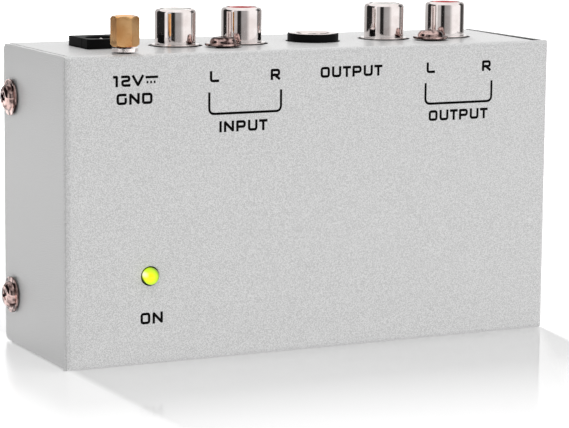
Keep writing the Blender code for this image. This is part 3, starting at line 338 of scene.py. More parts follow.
def bright_metal(
    name, pale, dark, roughness, spread, marks=0.25, patch=PATCH_SIZE, soft=0.2, seat=0
):
    """Metal with patches that meet softly, turning marks, and painted shade at its foot as high as
    its seat.
    """
    made, tree, shader = new_finish(name, Metallic=1.0)
    patches = tree.noise(patch, detail=4.0)
    scratches = tree.noise(MARK_SIZE, detail=3.0, vector=tree.stretched(MARK_STRETCH))
    metal = tree.mix(tree.between(patches, 0.5 - soft, 0.5 + soft), dark, pale)
    # painted shade: the foot of the piece is darkened where it sits on the case
    if seat:
        shade = tree.between(depth_inside(tree), -seat, -seat / 2)
        metal = tree.mix(shade, metal, SEAT_SHADE)
    tree.feed(shader, "Base Color", metal)
    tree.feed(shader, "Roughness", roughness + patches * spread + scratches * (spread / 2))
    tree.feed(shader, "Normal", tree.bump(scratches, MARK_DEPTH, marks))
    return made


FINISHES["nickel"] = bright_metal(
    "nickel", tone(250, 242, 240), tone(234, 223, 220), 0.02, 0.05, seat=0.18 * MM
)
# the screws' near-black patches are partly a painted dark reflection
FINISHES["screw_steel"] = bright_metal(
    "screw_steel", tone(218, 188, 182), tone(52, 34, 32), 0.01, 0.05,
    patch=1.6 * MM, soft=0.14, seat=0.6 * MM,
)
FINISHES["contact_gold"] = bright_metal(
    "contact_gold", tone(224, 184, 104), tone(200, 158, 84), 0.16, 0.12
)
FINISHES["brass"] = bright_metal(
    "brass", tone(244, 194, 136), tone(228, 166, 104), 0.12, 0.08, marks=0.3
)
FINISHES["tin"] = bright_metal("tin", tone(196, 196, 194), tone(160, 160, 160), 0.3, 0.2)
print("metals:", list(FINISHES)[2:])

# %% [markdown]
# ## Moulded plastics
# The socket bodies are matt black mouldings with the fine tooth that a spark-eroded mould leaves.
# The insulators and the film capacitors come from polished moulds, and are smoother. One function
# makes them all, from a colour, a roughness and the depth of the tooth.

# %% Plastics
TOOTH_SIZE = 0.12 * MM
FLOW_SIZE = 5 * MM
FLOW_ROUGH, TOOTH_ROUGH = 0.1, 0.08


def moulded(name, pale, dark, roughness, depth, gloss=0.5):
    made, tree, shader = new_finish(name, Specular_IOR_Level=gloss)
    tooth = tree.noise(TOOTH_SIZE, detail=2.0)
    flow = tree.noise(FLOW_SIZE, detail=3.0)
    tree.feed(shader, "Base Color", tree.mix((flow + tooth) / 2, dark, pale))
    tree.feed(shader, "Roughness", roughness + flow * FLOW_ROUGH + tooth * TOOTH_ROUGH)
    tree.feed(shader, "Normal", tree.bump(tooth, depth, strength=0.5))
    return made


MATT_TOOTH = 0.012 * MM
SATIN_TOOTH = 0.004 * MM
FINISHES["black_moulding"] = moulded(
    "black_moulding", tone(18, 18, 19), tone(8, 8, 9), 0.4, MATT_TOOTH, gloss=0.06
)
FINISHES["chip_moulding"] = moulded(
    "chip_moulding", tone(44, 44, 46), tone(28, 28, 30), 0.48, MATT_TOOTH
)
FINISHES["film_box"] = moulded("film_box", tone(168, 46, 34), tone(142, 34, 26), 0.28, SATIN_TOOTH)
FINISHES["white_insulator"] = moulded(
    "white_insulator", tone(240, 238, 234), tone(226, 224, 218), 0.3, SATIN_TOOTH
)
FINISHES["red_insulator"] = moulded(
    "red_insulator", tone(206, 26, 32), tone(178, 16, 24), 0.3, SATIN_TOOTH
)
print("plastics:", [name for name in FINISHES if "mould" in name or "insulator" in name])

# %% [markdown]
# ## The board, its cans and the ink
# The board is glass laminate under green solder mask. Copper tracks show through the mask as paler
# green lines with square corners, which a brick pattern gives at the right pitch. Capacitor cans wear
# a shrunk sleeve with a pale stripe down one side. The ink of the lettering is a thin dull black.

# %% Board
TRACK_LENGTH = 9 * MM
TRACK_PITCH = 2.2 * MM
TRACK_GAP = TRACK_PITCH / 5
TRACK_SHIFT = 0.37
TRACK_DEPTH = 0.03 * MM
WEAVE_SIZE = 0.6 * MM
WEAVE_SHARE = 0.1
MASK_ROUGH, WEAVE_ROUGH = 0.3, 0.15


def solder_mask():
    made, tree, shader = new_finish("board_laminate", Coat_Weight=0.3, Coat_Roughness=0.15)
    place = tree.here()
    flat = tree.node(
        "ShaderNodeCombineXYZ", None, {0: tree.part_of(place, "X"), 1: tree.part_of(place, "Z")}
    )
    values = {
        "Vector": flat, "Color1": grey(1), "Color2": grey(0.8), "Mortar": grey(0), "Scale": 1.0,
        "Mortar Size": TRACK_GAP, "Brick Width": TRACK_LENGTH, "Row Height": TRACK_PITCH,
    }
    tracks = tree.node("ShaderNodeTexBrick", {"offset": TRACK_SHIFT}, values, output="Fac")
    weave = tree.noise(WEAVE_SIZE, detail=2.0)
    mask = tree.mix(weave, tone(14, 62, 38), tone(20, 78, 48))
    tree.feed(shader, "Base Color", tree.mix(tracks, mask, tone(34, 112, 66)))
    tree.feed(shader, "Roughness", MASK_ROUGH + weave * WEAVE_ROUGH)
    relief = tracks + weave * WEAVE_SHARE
    tree.feed(shader, "Normal", tree.bump(relief, TRACK_DEPTH, strength=0.6))
    return made


FINISHES["board_laminate"] = solder_mask()
print(f"tracks {TRACK_PITCH * 1000:.1f} mm apart")

# %% Sleeve and ink
STRIPE_EDGE, STRIPE_FADE = 0.62, 0.02
TOP_LOW, TOP_HIGH = 0.95, 0.99
SLEEVE_ROUGH, SLEEVE_SPREAD = 0.26, 0.14
INK_ROUGH, INK_SPREAD = 0.5, 0.2


def shrunk_sleeve():
    made, tree, shader = new_finish("can_sleeve")
    sideways = tree.dot(tree.outward(), (-1, 0, 0))
    stripe = tree.between(sideways, STRIPE_EDGE, STRIPE_EDGE + STRIPE_FADE)
    top = tree.between(tree.dot(tree.outward(), (0, -1, 0)), TOP_LOW, TOP_HIGH)
    film = tree.mix(stripe, tone(26, 32, 48), tone(176, 184, 190))
    tree.feed(shader, "Base Color", tree.mix(top, film, tone(188, 190, 192)))
    tree.feed(shader, "Metallic", top)
    tree.feed(shader, "Roughness", SLEEVE_ROUGH + tree.noise(PATCH_SIZE) * SLEEVE_SPREAD)
    return made


def printed_ink():
    made, tree, shader = new_finish("printed_ink", Specular_IOR_Level=0.03)
    speck = tree.noise(COAT_GRAIN, detail=2.0)
    tree.feed(shader, "Base Color", tree.mix(speck, tone(2, 2, 2), tone(12, 12, 12)))
    tree.feed(shader, "Roughness", INK_ROUGH + speck * INK_SPREAD)
    tree.feed(shader, "Normal", tree.bump(speck, COAT_DEPTH, strength=0.3))
    return made


FINISHES["can_sleeve"] = shrunk_sleeve()
ink = printed_ink()
print(len(FINISHES), "finishes so far")

# %% [markdown]
# ## The lit lamp
# A small round lamp of tinted resin shines yellow-green. Its middle looks yellow where the chip is
# seen through the resin, and its rim goes lime. The glow is an emission colour that runs from one to
# the other with distance from the chip, which sits a little off the lamp's axis, and a whitish spot
# beside it is a painted highlight. Only the dome that stands out glows, so the gap round it stays
# dark.
# The lit disc is set a little above the dome's middle, which leaves a dark crescent at its foot as
# painted shade.

# %% Lamp finish
lamp_low, lamp_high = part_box("power_lamp")
LAMP_AXIS = (lamp_low + lamp_high) / 2
CHIP_OFFSET = 0.7 * MM
GLOW_RADIUS = 2.1 * MM
GLOW_AHEAD, GLOW_BEHIND = 0.2 * MM, 0.3 * MM
GLOW_TONES = [
    (0.0, tone(248, 248, 0)), (0.3, tone(246, 250, 0)), (0.55, tone(216, 250, 0)),
    (0.78, tone(186, 226, 10)), (0.92, tone(128, 160, 6)), (1.0, tone(86, 104, 0)),
]
# painted highlight: a whitish spot on the upper left of the lamp's dome
LAMP_HIGHLIGHT_SPOT = Vector((-1.6, 0, 0.55)) * MM
LAMP_HIGHLIGHT_RADIUS = 0.7 * MM
LAMP_HIGHLIGHT_FADE = 1.2
LIT_MIDDLE = Vector((0.08, 0, 0.17)) * MM
LIT_RADIUS = 1.77 * MM
LIT_FADE = 0.12 * MM
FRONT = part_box("case_tray")[0].y


def lit_resin():
    made, tree, shader = new_finish("lamp_lens", Roughness=0.12, Emission_Strength=1.0)
    place = tree.here()
    chip = LAMP_AXIS - Vector((CHIP_OFFSET, 0, 0))
    share = tree.gap_to(chip) / GLOW_RADIUS
    glow = tree.node("ShaderNodeValToRGB", {"stops": GLOW_TONES}, {0: share})
    # painted highlight: the whitish spot mixed into the glow
    spot = tree.gap_to(LAMP_AXIS + LAMP_HIGHLIGHT_SPOT) / LAMP_HIGHLIGHT_RADIUS
    glow = tree.mix(1 - tree.between(spot, 0, LAMP_HIGHLIGHT_FADE), glow, tone(254, 255, 208))
    # painted shade: the glow is cut to an offset disc, which leaves a dark crescent at the foot
    limb = tree.gap_to(LAMP_AXIS + LIT_MIDDLE)
    glow = tree.mix(tree.between(limb, LIT_RADIUS, LIT_RADIUS + LIT_FADE), glow, grey(0))
    behind = tree.between(tree.part_of(place, "Y"), FRONT - GLOW_AHEAD, FRONT + GLOW_BEHIND)
    tree.feed(shader, "Emission Color", tree.mix(behind, glow, grey(0)))
    rim = tree.between(share, 0, 1)
    tree.feed(shader, "Base Color", tree.mix(rim, tone(120, 130, 20), tone(60, 90, 20)))
    return made


FINISHES["lamp_lens"] = lit_resin()
for node, solid in NODES.items():
    solid.data.materials.clear()
    solid.data.materials.append(FINISHES[SLOT_OF[node]])
print("every solid has its finish")

# %% [markdown]
# ## Studio light
# The box is lit softly from all round, more from the front and from the right. The world gives
# that light. Where the camera looks past the box, or where plated metal mirrors the room, the world
# is plain white instead, as the paper behind the box is.

# %% World
SOFT_LEVEL = 0.66
SOFT_SIDE = 0.5
SOFT_FRONT = 0.35


def seen_or_mirrored(tree):
    """One where a ray comes from the camera, a mirror or clear resin, and nought for soft light."""
    path = tree.nodes.new("ShaderNodeLightPath")
    rays = [Wire(tree, path.outputs[name]) for name in ("Is Camera Ray", "Is Glossy Ray")]
    through = Wire(tree, path.outputs["Is Transmission Ray"])
    return tree.maths("MAXIMUM", tree.maths("MAXIMUM", rays[0], rays[1]), through)


world = bpy.data.worlds.new("studio")
bpy.context.scene.world = world
sky = Tree(world)
direction = sky.node("ShaderNodeTexCoord", output="Generated")
soft = SOFT_LEVEL + sky.dot(direction, level * SOFT_SIDE - ahead * SOFT_FRONT)
seen = seen_or_mirrored(sky)
sky.feed(sky.nodes["Background"], "Color", grey(1.0))
sky.feed(sky.nodes["Background"], "Strength", seen + (1 - seen) * soft)
print("soft light of", SOFT_LEVEL, "with", SOFT_FRONT, "more in front")

# %% [markdown]
# ## Cards
# White light alone makes plated metal look like chalk. A photographer stands dark and grey cards
# round the table, just out of the picture, so that the plating has dark bands to mirror. Here one
# ring of card does it, with its tones set by compass angle from the camera's side of the box. Only
# mirror rays see it, so it takes no light from the box.

# %% Pieces of the studio
def helper_object(shape, name):
    mesh = bpy.data.meshes.new(name)
    shape.to_mesh(mesh)
    shape.free()
    made = bpy.data.objects.new(name, mesh)
    bpy.context.scene.collection.objects.link(made)
    return made


def studio_piece(shape, name):
    """A piece of the studio, with a material that has no shader yet, and that material's tree."""
    made = helper_object(shape, name)
    finish = bpy.data.materials.new(name)
    made.data.materials.append(finish)
    tree = Tree(finish)
    tree.nodes.remove(tree.nodes["Principled BSDF"])
    return made, tree


def show(tree, shader):
    tree.links.new(shader.socket, tree.nodes["Material Output"].inputs["Surface"])


print("a studio piece:", studio_piece.__doc__)

# %% Ring of cards
CARD_TONES = [
    (-180, 1.0), (-170, 1.0), (-162, 0.5), (-126, 0.5), (-120, 0.02), (-62, 0.02), (-56, 1.0),
    (-46, 1.0), (-42, 0.55), (-26, 0.58), (-20, 0.02), (-4, 0.02), (2, 0.34), (30, 0.42),
    (48, 1.0), (98, 1.0), (106, 0.05), (132, 0.08), (142, 0.5), (162, 0.5), (170, 1.0), (180, 1.0),
]
CARD_DISTANCE = 700 * MM
CARD_HEIGHT = 560 * MM
CARD_STEPS = 72

shape = bmesh.new()
ends = [shape.verts.new((CARD_DISTANCE, 0, height)) for height in (0, CARD_HEIGHT)]
post = shape.edges.new(ends)
bmesh.ops.spin(
    shape, geom=[*ends, post], cent=(0, 0, 0), axis=(0, 0, 1), dvec=(0, 0, 0),
    angle=math.tau, steps=CARD_STEPS, use_merge=True,
)
cards, card = studio_piece(shape, "studio_cards")
place = card.here()
angle = card.maths("ARCTAN2", card.dot(place, level), card.dot(place, -ahead))
stops = [((compass + 180) / 360, grey(value)) for compass, value in CARD_TONES]
ring = card.node("ShaderNodeValToRGB", {"stops": stops}, {0: angle / math.tau + 0.5})
show(card, card.node("ShaderNodeEmission", None, {"Color": ring}))
cards.visible_camera = False
cards.visible_diffuse = False
cards.visible_shadow = False
print(len(CARD_TONES), "card tones")

# %% [markdown]
# ## Floor
# The box stands on a white polished sheet. Its own white is a matt shader with a little light added:
# least at the foot of the box, more to the left of the shadow's edge, and most far off, where the
# paper runs on without end. A mirror is mixed in over that, strong at the foot and weaker towards the
# camera. A real sheet mirrors what is beside the box too, which is white, so the mirror is kept to
# the box's own width. Light that bounces up from the sheet is kept even, as in a light tent.

# %% Floor sheet
FLOOR_REACH = 1500 * MM
FLOOR_DROP = 0.05 * MM
FLOOR_EDGE = 3 * MM
SHADOW_TURN = math.radians(27)

shape = bmesh.new()
bmesh.ops.create_grid(shape, x_segments=1, y_segments=1, size=FLOOR_REACH)
bmesh.ops.translate(shape, verts=shape.verts, vec=(0, 0, -FLOOR_DROP))
floor, sheet = studio_piece(shape, "floor")
on_floor = sheet.here()
across = level * math.cos(SHADOW_TURN) + ahead * math.sin(SHADOW_TURN)
corner = across.dot(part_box("case_tray")[0])
past_corner = sheet.between(sheet.dot(on_floor, across), corner, corner + FLOOR_EDGE)
print(f"floor {2 * FLOOR_REACH:.0f} m wide")

# %% White of the floor
FLOOR_TONE = 0.8
FLOOR_LIFT = 0.35
FOOT_LIFT = 0.2
FOOT_REACH = 65 * MM
LEFT_LIFT = 0.42
FAR_LIFT = 0.7
FAR_START = 160 * MM
FAR_END = 320 * MM

gap = sheet.maths("ABSOLUTE", sheet.part_of(on_floor, "Y") - FRONT, 0)
shadow = sheet.mix(sheet.between(gap, 0, FOOT_REACH), grey(FOOT_LIFT), grey(FLOOR_LIFT))
near = sheet.mix(past_corner, grey(LEFT_LIFT), shadow)
far = sheet.between(sheet.length(on_floor), FAR_START, FAR_END)
lift = sheet.node("ShaderNodeEmission", None, {"Color": sheet.mix(far, near, grey(FAR_LIFT))})
matt = sheet.node("ShaderNodeBsdfDiffuse", None, {"Color": grey(FLOOR_TONE)})
white = sheet.node("ShaderNodeAddShader", None, {0: matt, 1: lift})
print(f"light added: {FOOT_LIFT} at the foot, {FAR_LIFT} far off")

# %% Mirror in the floor
FLOOR_BOUNCE = 0.85
MIRROR_ROUGH = 0.07
MIRROR_REACH = 120 * MM
MIRROR_HALF = 58 * MM
MIRROR_SHIFT = 3.5 * MM
MIRROR_LEFT = 0.42
MIRROR_SHARES = [
    (0.0, 0.04), (0.2, 0.09), (0.35, 0.16), (0.5, 0.27), (0.65, 0.4), (0.8, 0.56), (1.0, 0.66),
]

nearness = 1 - sheet.maths("ABSOLUTE", sheet.dot(on_floor, ahead), 0) / MIRROR_REACH
off_centre = sheet.maths("ABSOLUTE", sheet.dot(on_floor, level) + MIRROR_SHIFT, 0)
in_line = 1 - sheet.between(off_centre, MIRROR_HALF, MIRROR_HALF + FLOOR_EDGE)
in_line = in_line * (MIRROR_LEFT + past_corner * (1 - MIRROR_LEFT))
stops = [(near_share, grey(value)) for near_share, value in MIRROR_SHARES]
mirror_share = sheet.node("ShaderNodeValToRGB", {"stops": stops}, {0: nearness}) * in_line
values = {"Color": grey(1.0), "Roughness": MIRROR_ROUGH}
mirror = sheet.node("ShaderNodeBsdfGlossy", None, values)
polished = sheet.node("ShaderNodeMixShader", None, {0: mirror_share, 1: white, 2: mirror})
bounce = sheet.node("ShaderNodeEmission", None, {"Strength": FLOOR_BOUNCE})
values = {0: seen_or_mirrored(sheet), 1: bounce, 2: polished}
show(sheet, sheet.node("ShaderNodeMixShader", None, values))
print(len(sheet.nodes), "nodes in the floor's finish")

# %% [markdown]
# ## Softbox
# One lamp gives the shadow that falls forward and to the right: a tall narrow softbox that stands
# behind the box, high and a little to the left. It is narrow because a wide one would blur the
# shadow's edge. Mirror rays don't see it, since the cards already give the plating its bands.

# %% Softbox
SOFTBOX_TURN = math.radians(13)
SOFTBOX_RISE = math.radians(48)
SOFTBOX_DISTANCE = 900 * MM
SOFTBOX_WIDTH = 60 * MM
SOFTBOX_HEIGHT = 700 * MM
SOFTBOX_POWER = 5.2

away = ahead * math.cos(SOFTBOX_TURN) - level * math.sin(SOFTBOX_TURN)
toward = away * math.cos(SOFTBOX_RISE) + Vector((0, 0, math.sin(SOFTBOX_RISE)))
softbox_light = bpy.data.lights.new("softbox", "AREA")
softbox_light.shape = "RECTANGLE"
softbox_light.size = SOFTBOX_WIDTH
softbox_light.size_y = SOFTBOX_HEIGHT
softbox_light.energy = SOFTBOX_POWER
softbox = bpy.data.objects.new("softbox", softbox_light)
bpy.context.scene.collection.objects.link(softbox)
softbox.visible_glossy = False
softbox.location = toward * SOFTBOX_DISTANCE
softbox.rotation_euler = toward.to_track_quat("Z", "Y").to_euler()
print("softbox at", softbox.location)

# %% [markdown]
# ## Making pieces
# Most pieces here are folded, sawn or turned. `carve` cuts one shape with another, as a saw would.
# `solid_shape` copies a solid, whose mesh is loose triangles, and merges and clears it first. `dress`
# makes the finished piece: it gives it the finish of the solid that it stands for, rounds its sharp
# edges by a hair, since no real edge is quite sharp, and lets it ride on that solid's body.

# %% Blocks and cuts
MERGE = 0.002 * MM
FLAT_ANGLE = math.radians(1)
SHARP_ANGLE = math.radians(30)


def box_shape(low, high):
    """A box between two corners in metres."""
    shape = bmesh.new()
    size = [last - first for first, last in zip(low, high)]
    middle = [(first + last) / 2 for first, last in zip(low, high)]
    pose = Matrix.Translation(middle) @ Matrix.Diagonal((*size, 1))
    bmesh.ops.create_cube(shape, size=1, matrix=pose)
    return shape


def carve(shape, tool, operation="DIFFERENCE"):
    """Cuts a shape with another, or keeps what both share, and gives back the result."""
    target, cutter = helper_object(shape, "target"), helper_object(tool, "cutter")
    boolean = target.modifiers.new("Cut", "BOOLEAN")
    boolean.operation = operation
    boolean.solver = "EXACT"
    boolean.object = cutter
    result = bmesh.new()
    result.from_object(target, bpy.context.evaluated_depsgraph_get())
    for used in (target, cutter):
        mesh = used.data
        bpy.data.objects.remove(used)
        bpy.data.meshes.remove(mesh)
    bmesh.ops.remove_doubles(result, verts=result.verts, dist=MERGE / 4)
    return result


def solid_shape(node):
    """A merged copy of a solid, with its flat faces made whole again."""
    shape = bmesh.new()
    shape.from_mesh(NODES[node].data)
    bmesh.ops.remove_doubles(shape, verts=shape.verts, dist=MERGE)
    bmesh.ops.dissolve_limit(
        shape, angle_limit=FLAT_ANGLE, use_dissolve_boundaries=False,
        verts=shape.verts, edges=shape.edges,
    )
    return shape


print("shapes merge within", round(MERGE / MM, 3), "mm")

# %% Finished pieces
def finished(name, shape, material, body, edge=0.0, steps=2):
    """A finished piece that rides on a body, with its sharp edges rounded where a width is given."""
    made = helper_object(shape, name)
    made.data.materials.clear()
    made.data.materials.append(material)
    made.data.shade_smooth()
    made.data.set_sharp_from_angle(angle=SHARP_ANGLE)
    if edge:
        soften = made.modifiers.new("Edges", "BEVEL")
        soften.width = edge * MM
        soften.segments = steps
        soften.limit_method = "ANGLE"
        soften.angle_limit = SHARP_ANGLE
        soften.harden_normals = True
        soften.use_clamp_overlap = True
    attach(made, body)
    return made


def dress(node, shape, edge=0.0, steps=2):
    """A finished piece that stands for one solid and takes over its finish and body."""
    slot = SLOT_OF[node]
    made = finished(f"{node}_finished", shape, FINISHES[slot], BODY_OF[node], edge, steps)
    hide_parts(node)
    return made


print("edges past", round(math.degrees(SHARP_ANGLE)), "degrees are rounded")

# %% [markdown]
# ## Tray and cover
# The tray is one steel blank: the front face, with four sides folded back from it. Seams part the
# sides at the corners. The cover closes the back, with two bent ends that take the screws. Their
# solids already have the folds and seams, so merged copies are used, and every cut edge gets the
# small roundness that a thick coat of powder leaves. The top right seam gapes most at the front,
# where the fold pulled the sheet, so a long wedge is cut from it.

# %% Folded sheet metal
COAT_EDGE = 0.12
SEAM_LINE = 53.72
SEAM_START = -15.55
SEAM_OPEN_FRONT = 2.0
SEAM_OPEN_BACK = 0.5
WEDGE_DEPTH = 2.0

low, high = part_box("case_tray")
wedge = box_shape(
    ((SEAM_LINE - SEAM_OPEN_FRONT) * MM, SEAM_START * MM, high.z - WEDGE_DEPTH * MM),
    (SEAM_LINE * MM, high.y + MM, high.z + MM),
)
for vert in wedge.verts:
    if vert.co.y > 0 and vert.co.x < (SEAM_LINE - SEAM_OPEN_BACK) * MM:
        vert.co.x = (SEAM_LINE - SEAM_OPEN_BACK) * MM
tray = dress("case_tray", carve(solid_shape("case_tray"), wedge), COAT_EDGE)
cover = dress("back_cover", solid_shape("back_cover"), COAT_EDGE)
print(f"tray {len(tray.data.polygons)} faces, cover {len(cover.data.polygons)} faces")

# %% [markdown]
# ## Lettering on the front
# The labels are printed in a square, even-stroked alphabet with rounded corners. A letter here is a
# few straight strokes in a cell that is 1 wide and 1 high, with its corners rounded by a short curve.
# A font would be quicker, but its letters wouldn't have these widths and these even strokes.

# %% Alphabet
STROKE = 0.54
CORNER = 0.45
SHARP_CORNER = STROKE / 8
CAP_HEIGHT = 2.24
LETTER_GAP = 0.46
SLIM_GAP = 0.34

STROKES = {
    "1": ([(0, 1), (1, 1), (1, 0)],),
    "2": ([(0, 1), (1, 1), (1, 0.52), (0, 0.52), (0, 0), (1, 0)],),
    "D": ([(0, 0), (0, 1), (1, 1), (1, 0), (0, 0)],),
    "G": ([(0.94, 1), (0, 1), (0, 0), (1, 0), (1, 0.5)],),
    "I": ([(0, 0), (0, 1)],),
    "L": ([(0, 1), (0, 0), (1, 0)],),
    "N": ([(0, 0), (0, 1), (1, 0), (1, 1)],),
    "O": ([(0, 0.5), (0, 1), (1, 1), (1, 0), (0, 0), (0, 0.5)],),
    "P": ([(0, 0), (0, 1), (1, 1), (1, 0.4), (0, 0.4)],),
    "R": ([(0, 0), (0, 1), (1, 1), (1, 0.42), (0, 0.42)], [(0.42, 0.42), (1, 0)]),
    "T": ([(0, 1), (1, 1)], [(0.5, 1), (0.5, 0)]),
    "U": ([(0, 1), (0, 0), (1, 0), (1, 1)],),
    "V": ([(0, 1), (0.5, 0), (1, 1)],),
}
WIDTHS = {
    "1": 1.05, "2": 1.96, "D": 2.26, "G": 2.22, "I": STROKE, "L": 2.03, "N": 2.25, "T": 1.88,
    "V": 2.5,
}
USUAL_WIDTH = 2.14
SHARP_LETTERS = "1NV"
SQUARE_LETTERS = "DPR"
print(len(STROKES), "letters and figures")

# %% Letters as lines
def rounded(points, radius, steps=5, square=-1):
    """A line through points whose corners are replaced by short curves, except the square one."""
    line = [Vector(points[0])]
    for place, (before, corner, after) in enumerate(zip(points, points[1:], points[2:])):
        before, corner, after = Vector(before), Vector(corner), Vector(after)
        back, on = before - corner, after - corner
        bend = SHARP_CORNER if place == square else radius
        reach = min(bend, back.length / 2, on.length / 2)
        first, last = corner + back.normalized() * reach, corner + on.normalized() * reach
        for step in range(steps + 1):
            share = step / steps
            line.append(first.lerp(corner, share).lerp(corner.lerp(last, share), share))
    line.append(Vector(points[-1]))
    return line


def with_square_ends(line, reach):
    """An open line made longer at both ends, so that its flat ends fill the letter's cell."""
    if line[0] != line[-1]:
        for end, inner in ((0, 1), (-1, -2)):
            line[end] = line[end] + (line[end] - line[inner]).normalized() * reach
    return line


def word_lines(word, left, base, cap=CAP_HEIGHT):
    """The strokes of a word, from the left edge of its first letter and its foot, in millimetres."""
    lines = []
    for place, letter in enumerate(word):
        wide = WIDTHS.get(letter, USUAL_WIDTH)
        if place:
            slim = "T" in (letter, word[place - 1]) or letter == "V"
            left += SLIM_GAP if slim else LETTER_GAP
            left += SLIM_GAP - STROKE / 4 if word[place - 1] == "1" else 0
        span, rise = wide - STROKE, cap - STROKE
        corner = SHARP_CORNER if letter in SHARP_LETTERS else CORNER
        square = 0 if letter in SQUARE_LETTERS else -1
        start_x, start_z = left + STROKE / 2, base + STROKE / 2
        for stroke in STROKES[letter]:
            points = [(start_x + x * span, start_z + z * rise) for x, z in stroke]
            lines.append(with_square_ends(rounded(points, corner, square=square), STROKE / 2))
        left += wide
    return lines


print(len(word_lines("ON", 0, 0)), "strokes in the word at the lamp")

# %% [markdown]
# ## Words and signs
# The words say what each socket is for. A bracket joins the two sockets of a pair, and a bar over
# three dots is the sign for direct current. Their places are measured from the middle of the case
# and from its foot. The strokes are swept as round tubes, which have no corners to tear, and the
# tubes are then pressed flat into a film of ink on the front.

# %% Places of the words
SOCKET_ROW = 56.02
WORD_ROW = 45.97
SUPPLY_ROW = 55.84
GROUND_ROW = 52.3
LAMP_ROW = 8.33
LAMP_CAP = 2.34
RIGHT_RISE = 0.06
BRACKET_TOP = 54.05
BRACKET_LOW = 49.72
BRACKET_CORNER = 1.15
BRACKET_STROKE = 0.5
BRACKET_ENDS = [(-24.5, -8.62), (24.82, 40.72)]
BAR_ROW = 57.58
BAR_ENDS = (-38.25, -35.6)
DOT_ROW = 56.6
DOT_MIDDLES = [-37.84, -37.07, -36.31]
DOT_HALF = 0.19

lines = []
for word, left, base in (
    ("12V", -45.13, SUPPLY_ROW), ("GND", -44.41, GROUND_ROW), ("L", -24.41, SOCKET_ROW),
    ("R", -10.98, SOCKET_ROW), ("INPUT", -22.28, WORD_ROW), ("OUTPUT", 0.28, SOCKET_ROW),
    ("L", 24.97, SOCKET_ROW + RIGHT_RISE), ("R", 38.32, SOCKET_ROW + RIGHT_RISE),
    ("OUTPUT", 25.67, WORD_ROW + 2 * RIGHT_RISE),
):
    lines += word_lines(word, left, base)
lines += word_lines("ON", -39.34, LAMP_ROW, cap=LAMP_CAP)
thin_lines = [[Vector((end, BAR_ROW)) for end in BAR_ENDS]]
for middle in DOT_MIDDLES:
    ends = (middle - DOT_HALF, middle + DOT_HALF)
    thin_lines.append([Vector((end, DOT_ROW)) for end in ends])
for first, last in BRACKET_ENDS:
    corners = [(first, BRACKET_LOW), (last, BRACKET_LOW)]
    arms = [(first, BRACKET_TOP), *corners, (last, BRACKET_TOP)]
    thin_lines.append(rounded(arms, BRACKET_CORNER))
print(len(lines), "strokes of letters and", len(thin_lines), "of signs")

# %% Ink
INK_SHARE = 0.05


def joined(first, second):
    """Adds the second shape's faces to the first."""
    mesh = bpy.data.meshes.new("joined")
    second.to_mesh(mesh)
    second.free()
    first.from_mesh(mesh)
    bpy.data.meshes.remove(mesh)
    return first


def swept_ink(strokes, width):
    """Round tubes along the strokes, pressed flat against the front face."""
    curve = bpy.data.curves.new("ink", "CURVE")
    curve.dimensions = "3D"
    curve.bevel_depth = width / 2 * MM
    curve.bevel_resolution = 2
    curve.use_fill_caps = True
    for stroke in strokes:
        spline = curve.splines.new("POLY")
        spline.points.add(len(stroke) - 1)
        for point, spot in zip(spline.points, stroke):
            point.co = (spot.x * MM, 0, spot.y * MM, 1)
    holder = bpy.data.objects.new("ink", curve)
    bpy.context.scene.collection.objects.link(holder)
    shape = bmesh.new()
    tubes = bpy.data.meshes.new_from_object(holder)
    shape.from_mesh(tubes)
    bpy.data.objects.remove(holder)
    bpy.data.meshes.remove(tubes)
    bmesh.ops.remove_doubles(shape, verts=shape.verts, dist=MERGE / 4)
    bmesh.ops.scale(shape, verts=shape.verts, vec=(1, INK_SHARE, 1))
    bmesh.ops.translate(shape, verts=shape.verts, vec=(0, FRONT, 0))
    bmesh.ops.recalc_face_normals(shape, faces=shape.faces)
    return shape


letters = joined(swept_ink(lines, STROKE), swept_ink(thin_lines, BRACKET_STROKE))
lettering = finished("front_lettering", letters, ink, "case")
print(f"lettering of {len(lettering.data.polygons)} faces")

# %% [markdown]
# ## Phono sockets
# Each socket is a plated shell with a rounded rim, a coloured insulator inside it, and a split spring
# tube in the middle that grips the plug's pin. All of them are made on a lathe, so here an outline of
# radii and heights is spun for each. The shell has a thin collar that rests on the case, and a tab
# that runs back to the board.

# %% Turned shapes
def arc(radius, height, bend, start, end, steps=8):
    """Points of an arc in an outline, in degrees from outward towards up."""
    points = []
    for step in range(steps + 1):
        angle = math.radians(start + (end - start) * step / steps)
        points.append((radius + bend * math.cos(angle), height + bend * math.sin(angle)))
    return points


def turned(outline, closed=True, steps=96):
    """A shape spun once about Z from an outline of radii and heights in millimetres."""
    shape = bmesh.new()
    points = [shape.verts.new((radius * MM, 0, height * MM)) for radius, height in outline]
    pairs = list(zip(points, points[1:]))
    if closed:
        pairs.append((points[-1], points[0]))
    edges = [shape.edges.new(pair) for pair in pairs]
    bmesh.ops.spin(
        shape, geom=points + edges, cent=(0, 0, 0), axis=(0, 0, 1), dvec=(0, 0, 0),
        angle=math.tau, steps=steps, use_merge=True,
    )
    bmesh.ops.remove_doubles(shape, verts=shape.verts, dist=MERGE)
    bmesh.ops.recalc_face_normals(shape, faces=shape.faces)
    return shape


def placed(shape, location, direction=(0, 0, 1)):
    """Moves a shape so that its own Z axis points along a direction."""
    turn = Vector((0, 0, 1)).rotation_difference(Vector(direction)).to_matrix().to_4x4()
    pose = Matrix.Translation(location) @ turn
    bmesh.ops.transform(shape, matrix=pose, verts=shape.verts)
    return shape


print("points in a quarter turn:", len(arc(0, 0, 1, 0, 90)))

# %% Socket shells
SHELL_RADIUS = 4.2
SHELL_BORE = 3.2
RIM_BEND = 0.8
INNER_BEND = 0.12
COLLAR_THICKNESS = 0.2
COLLAR_LIFT = 0.1
PIN_RADIUS = 0.4
PIN_OVERLAP = 0.3
CASE_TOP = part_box("case_tray")[1].z


def centre_of(node):
    """The place of a round solid's axis. Its pin may reach back, so depth is taken from the front."""
    low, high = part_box(node)
    radius = (high.x - low.x) / 2
    return Vector(((low.x + high.x) / 2, low.y + radius, 0)), radius


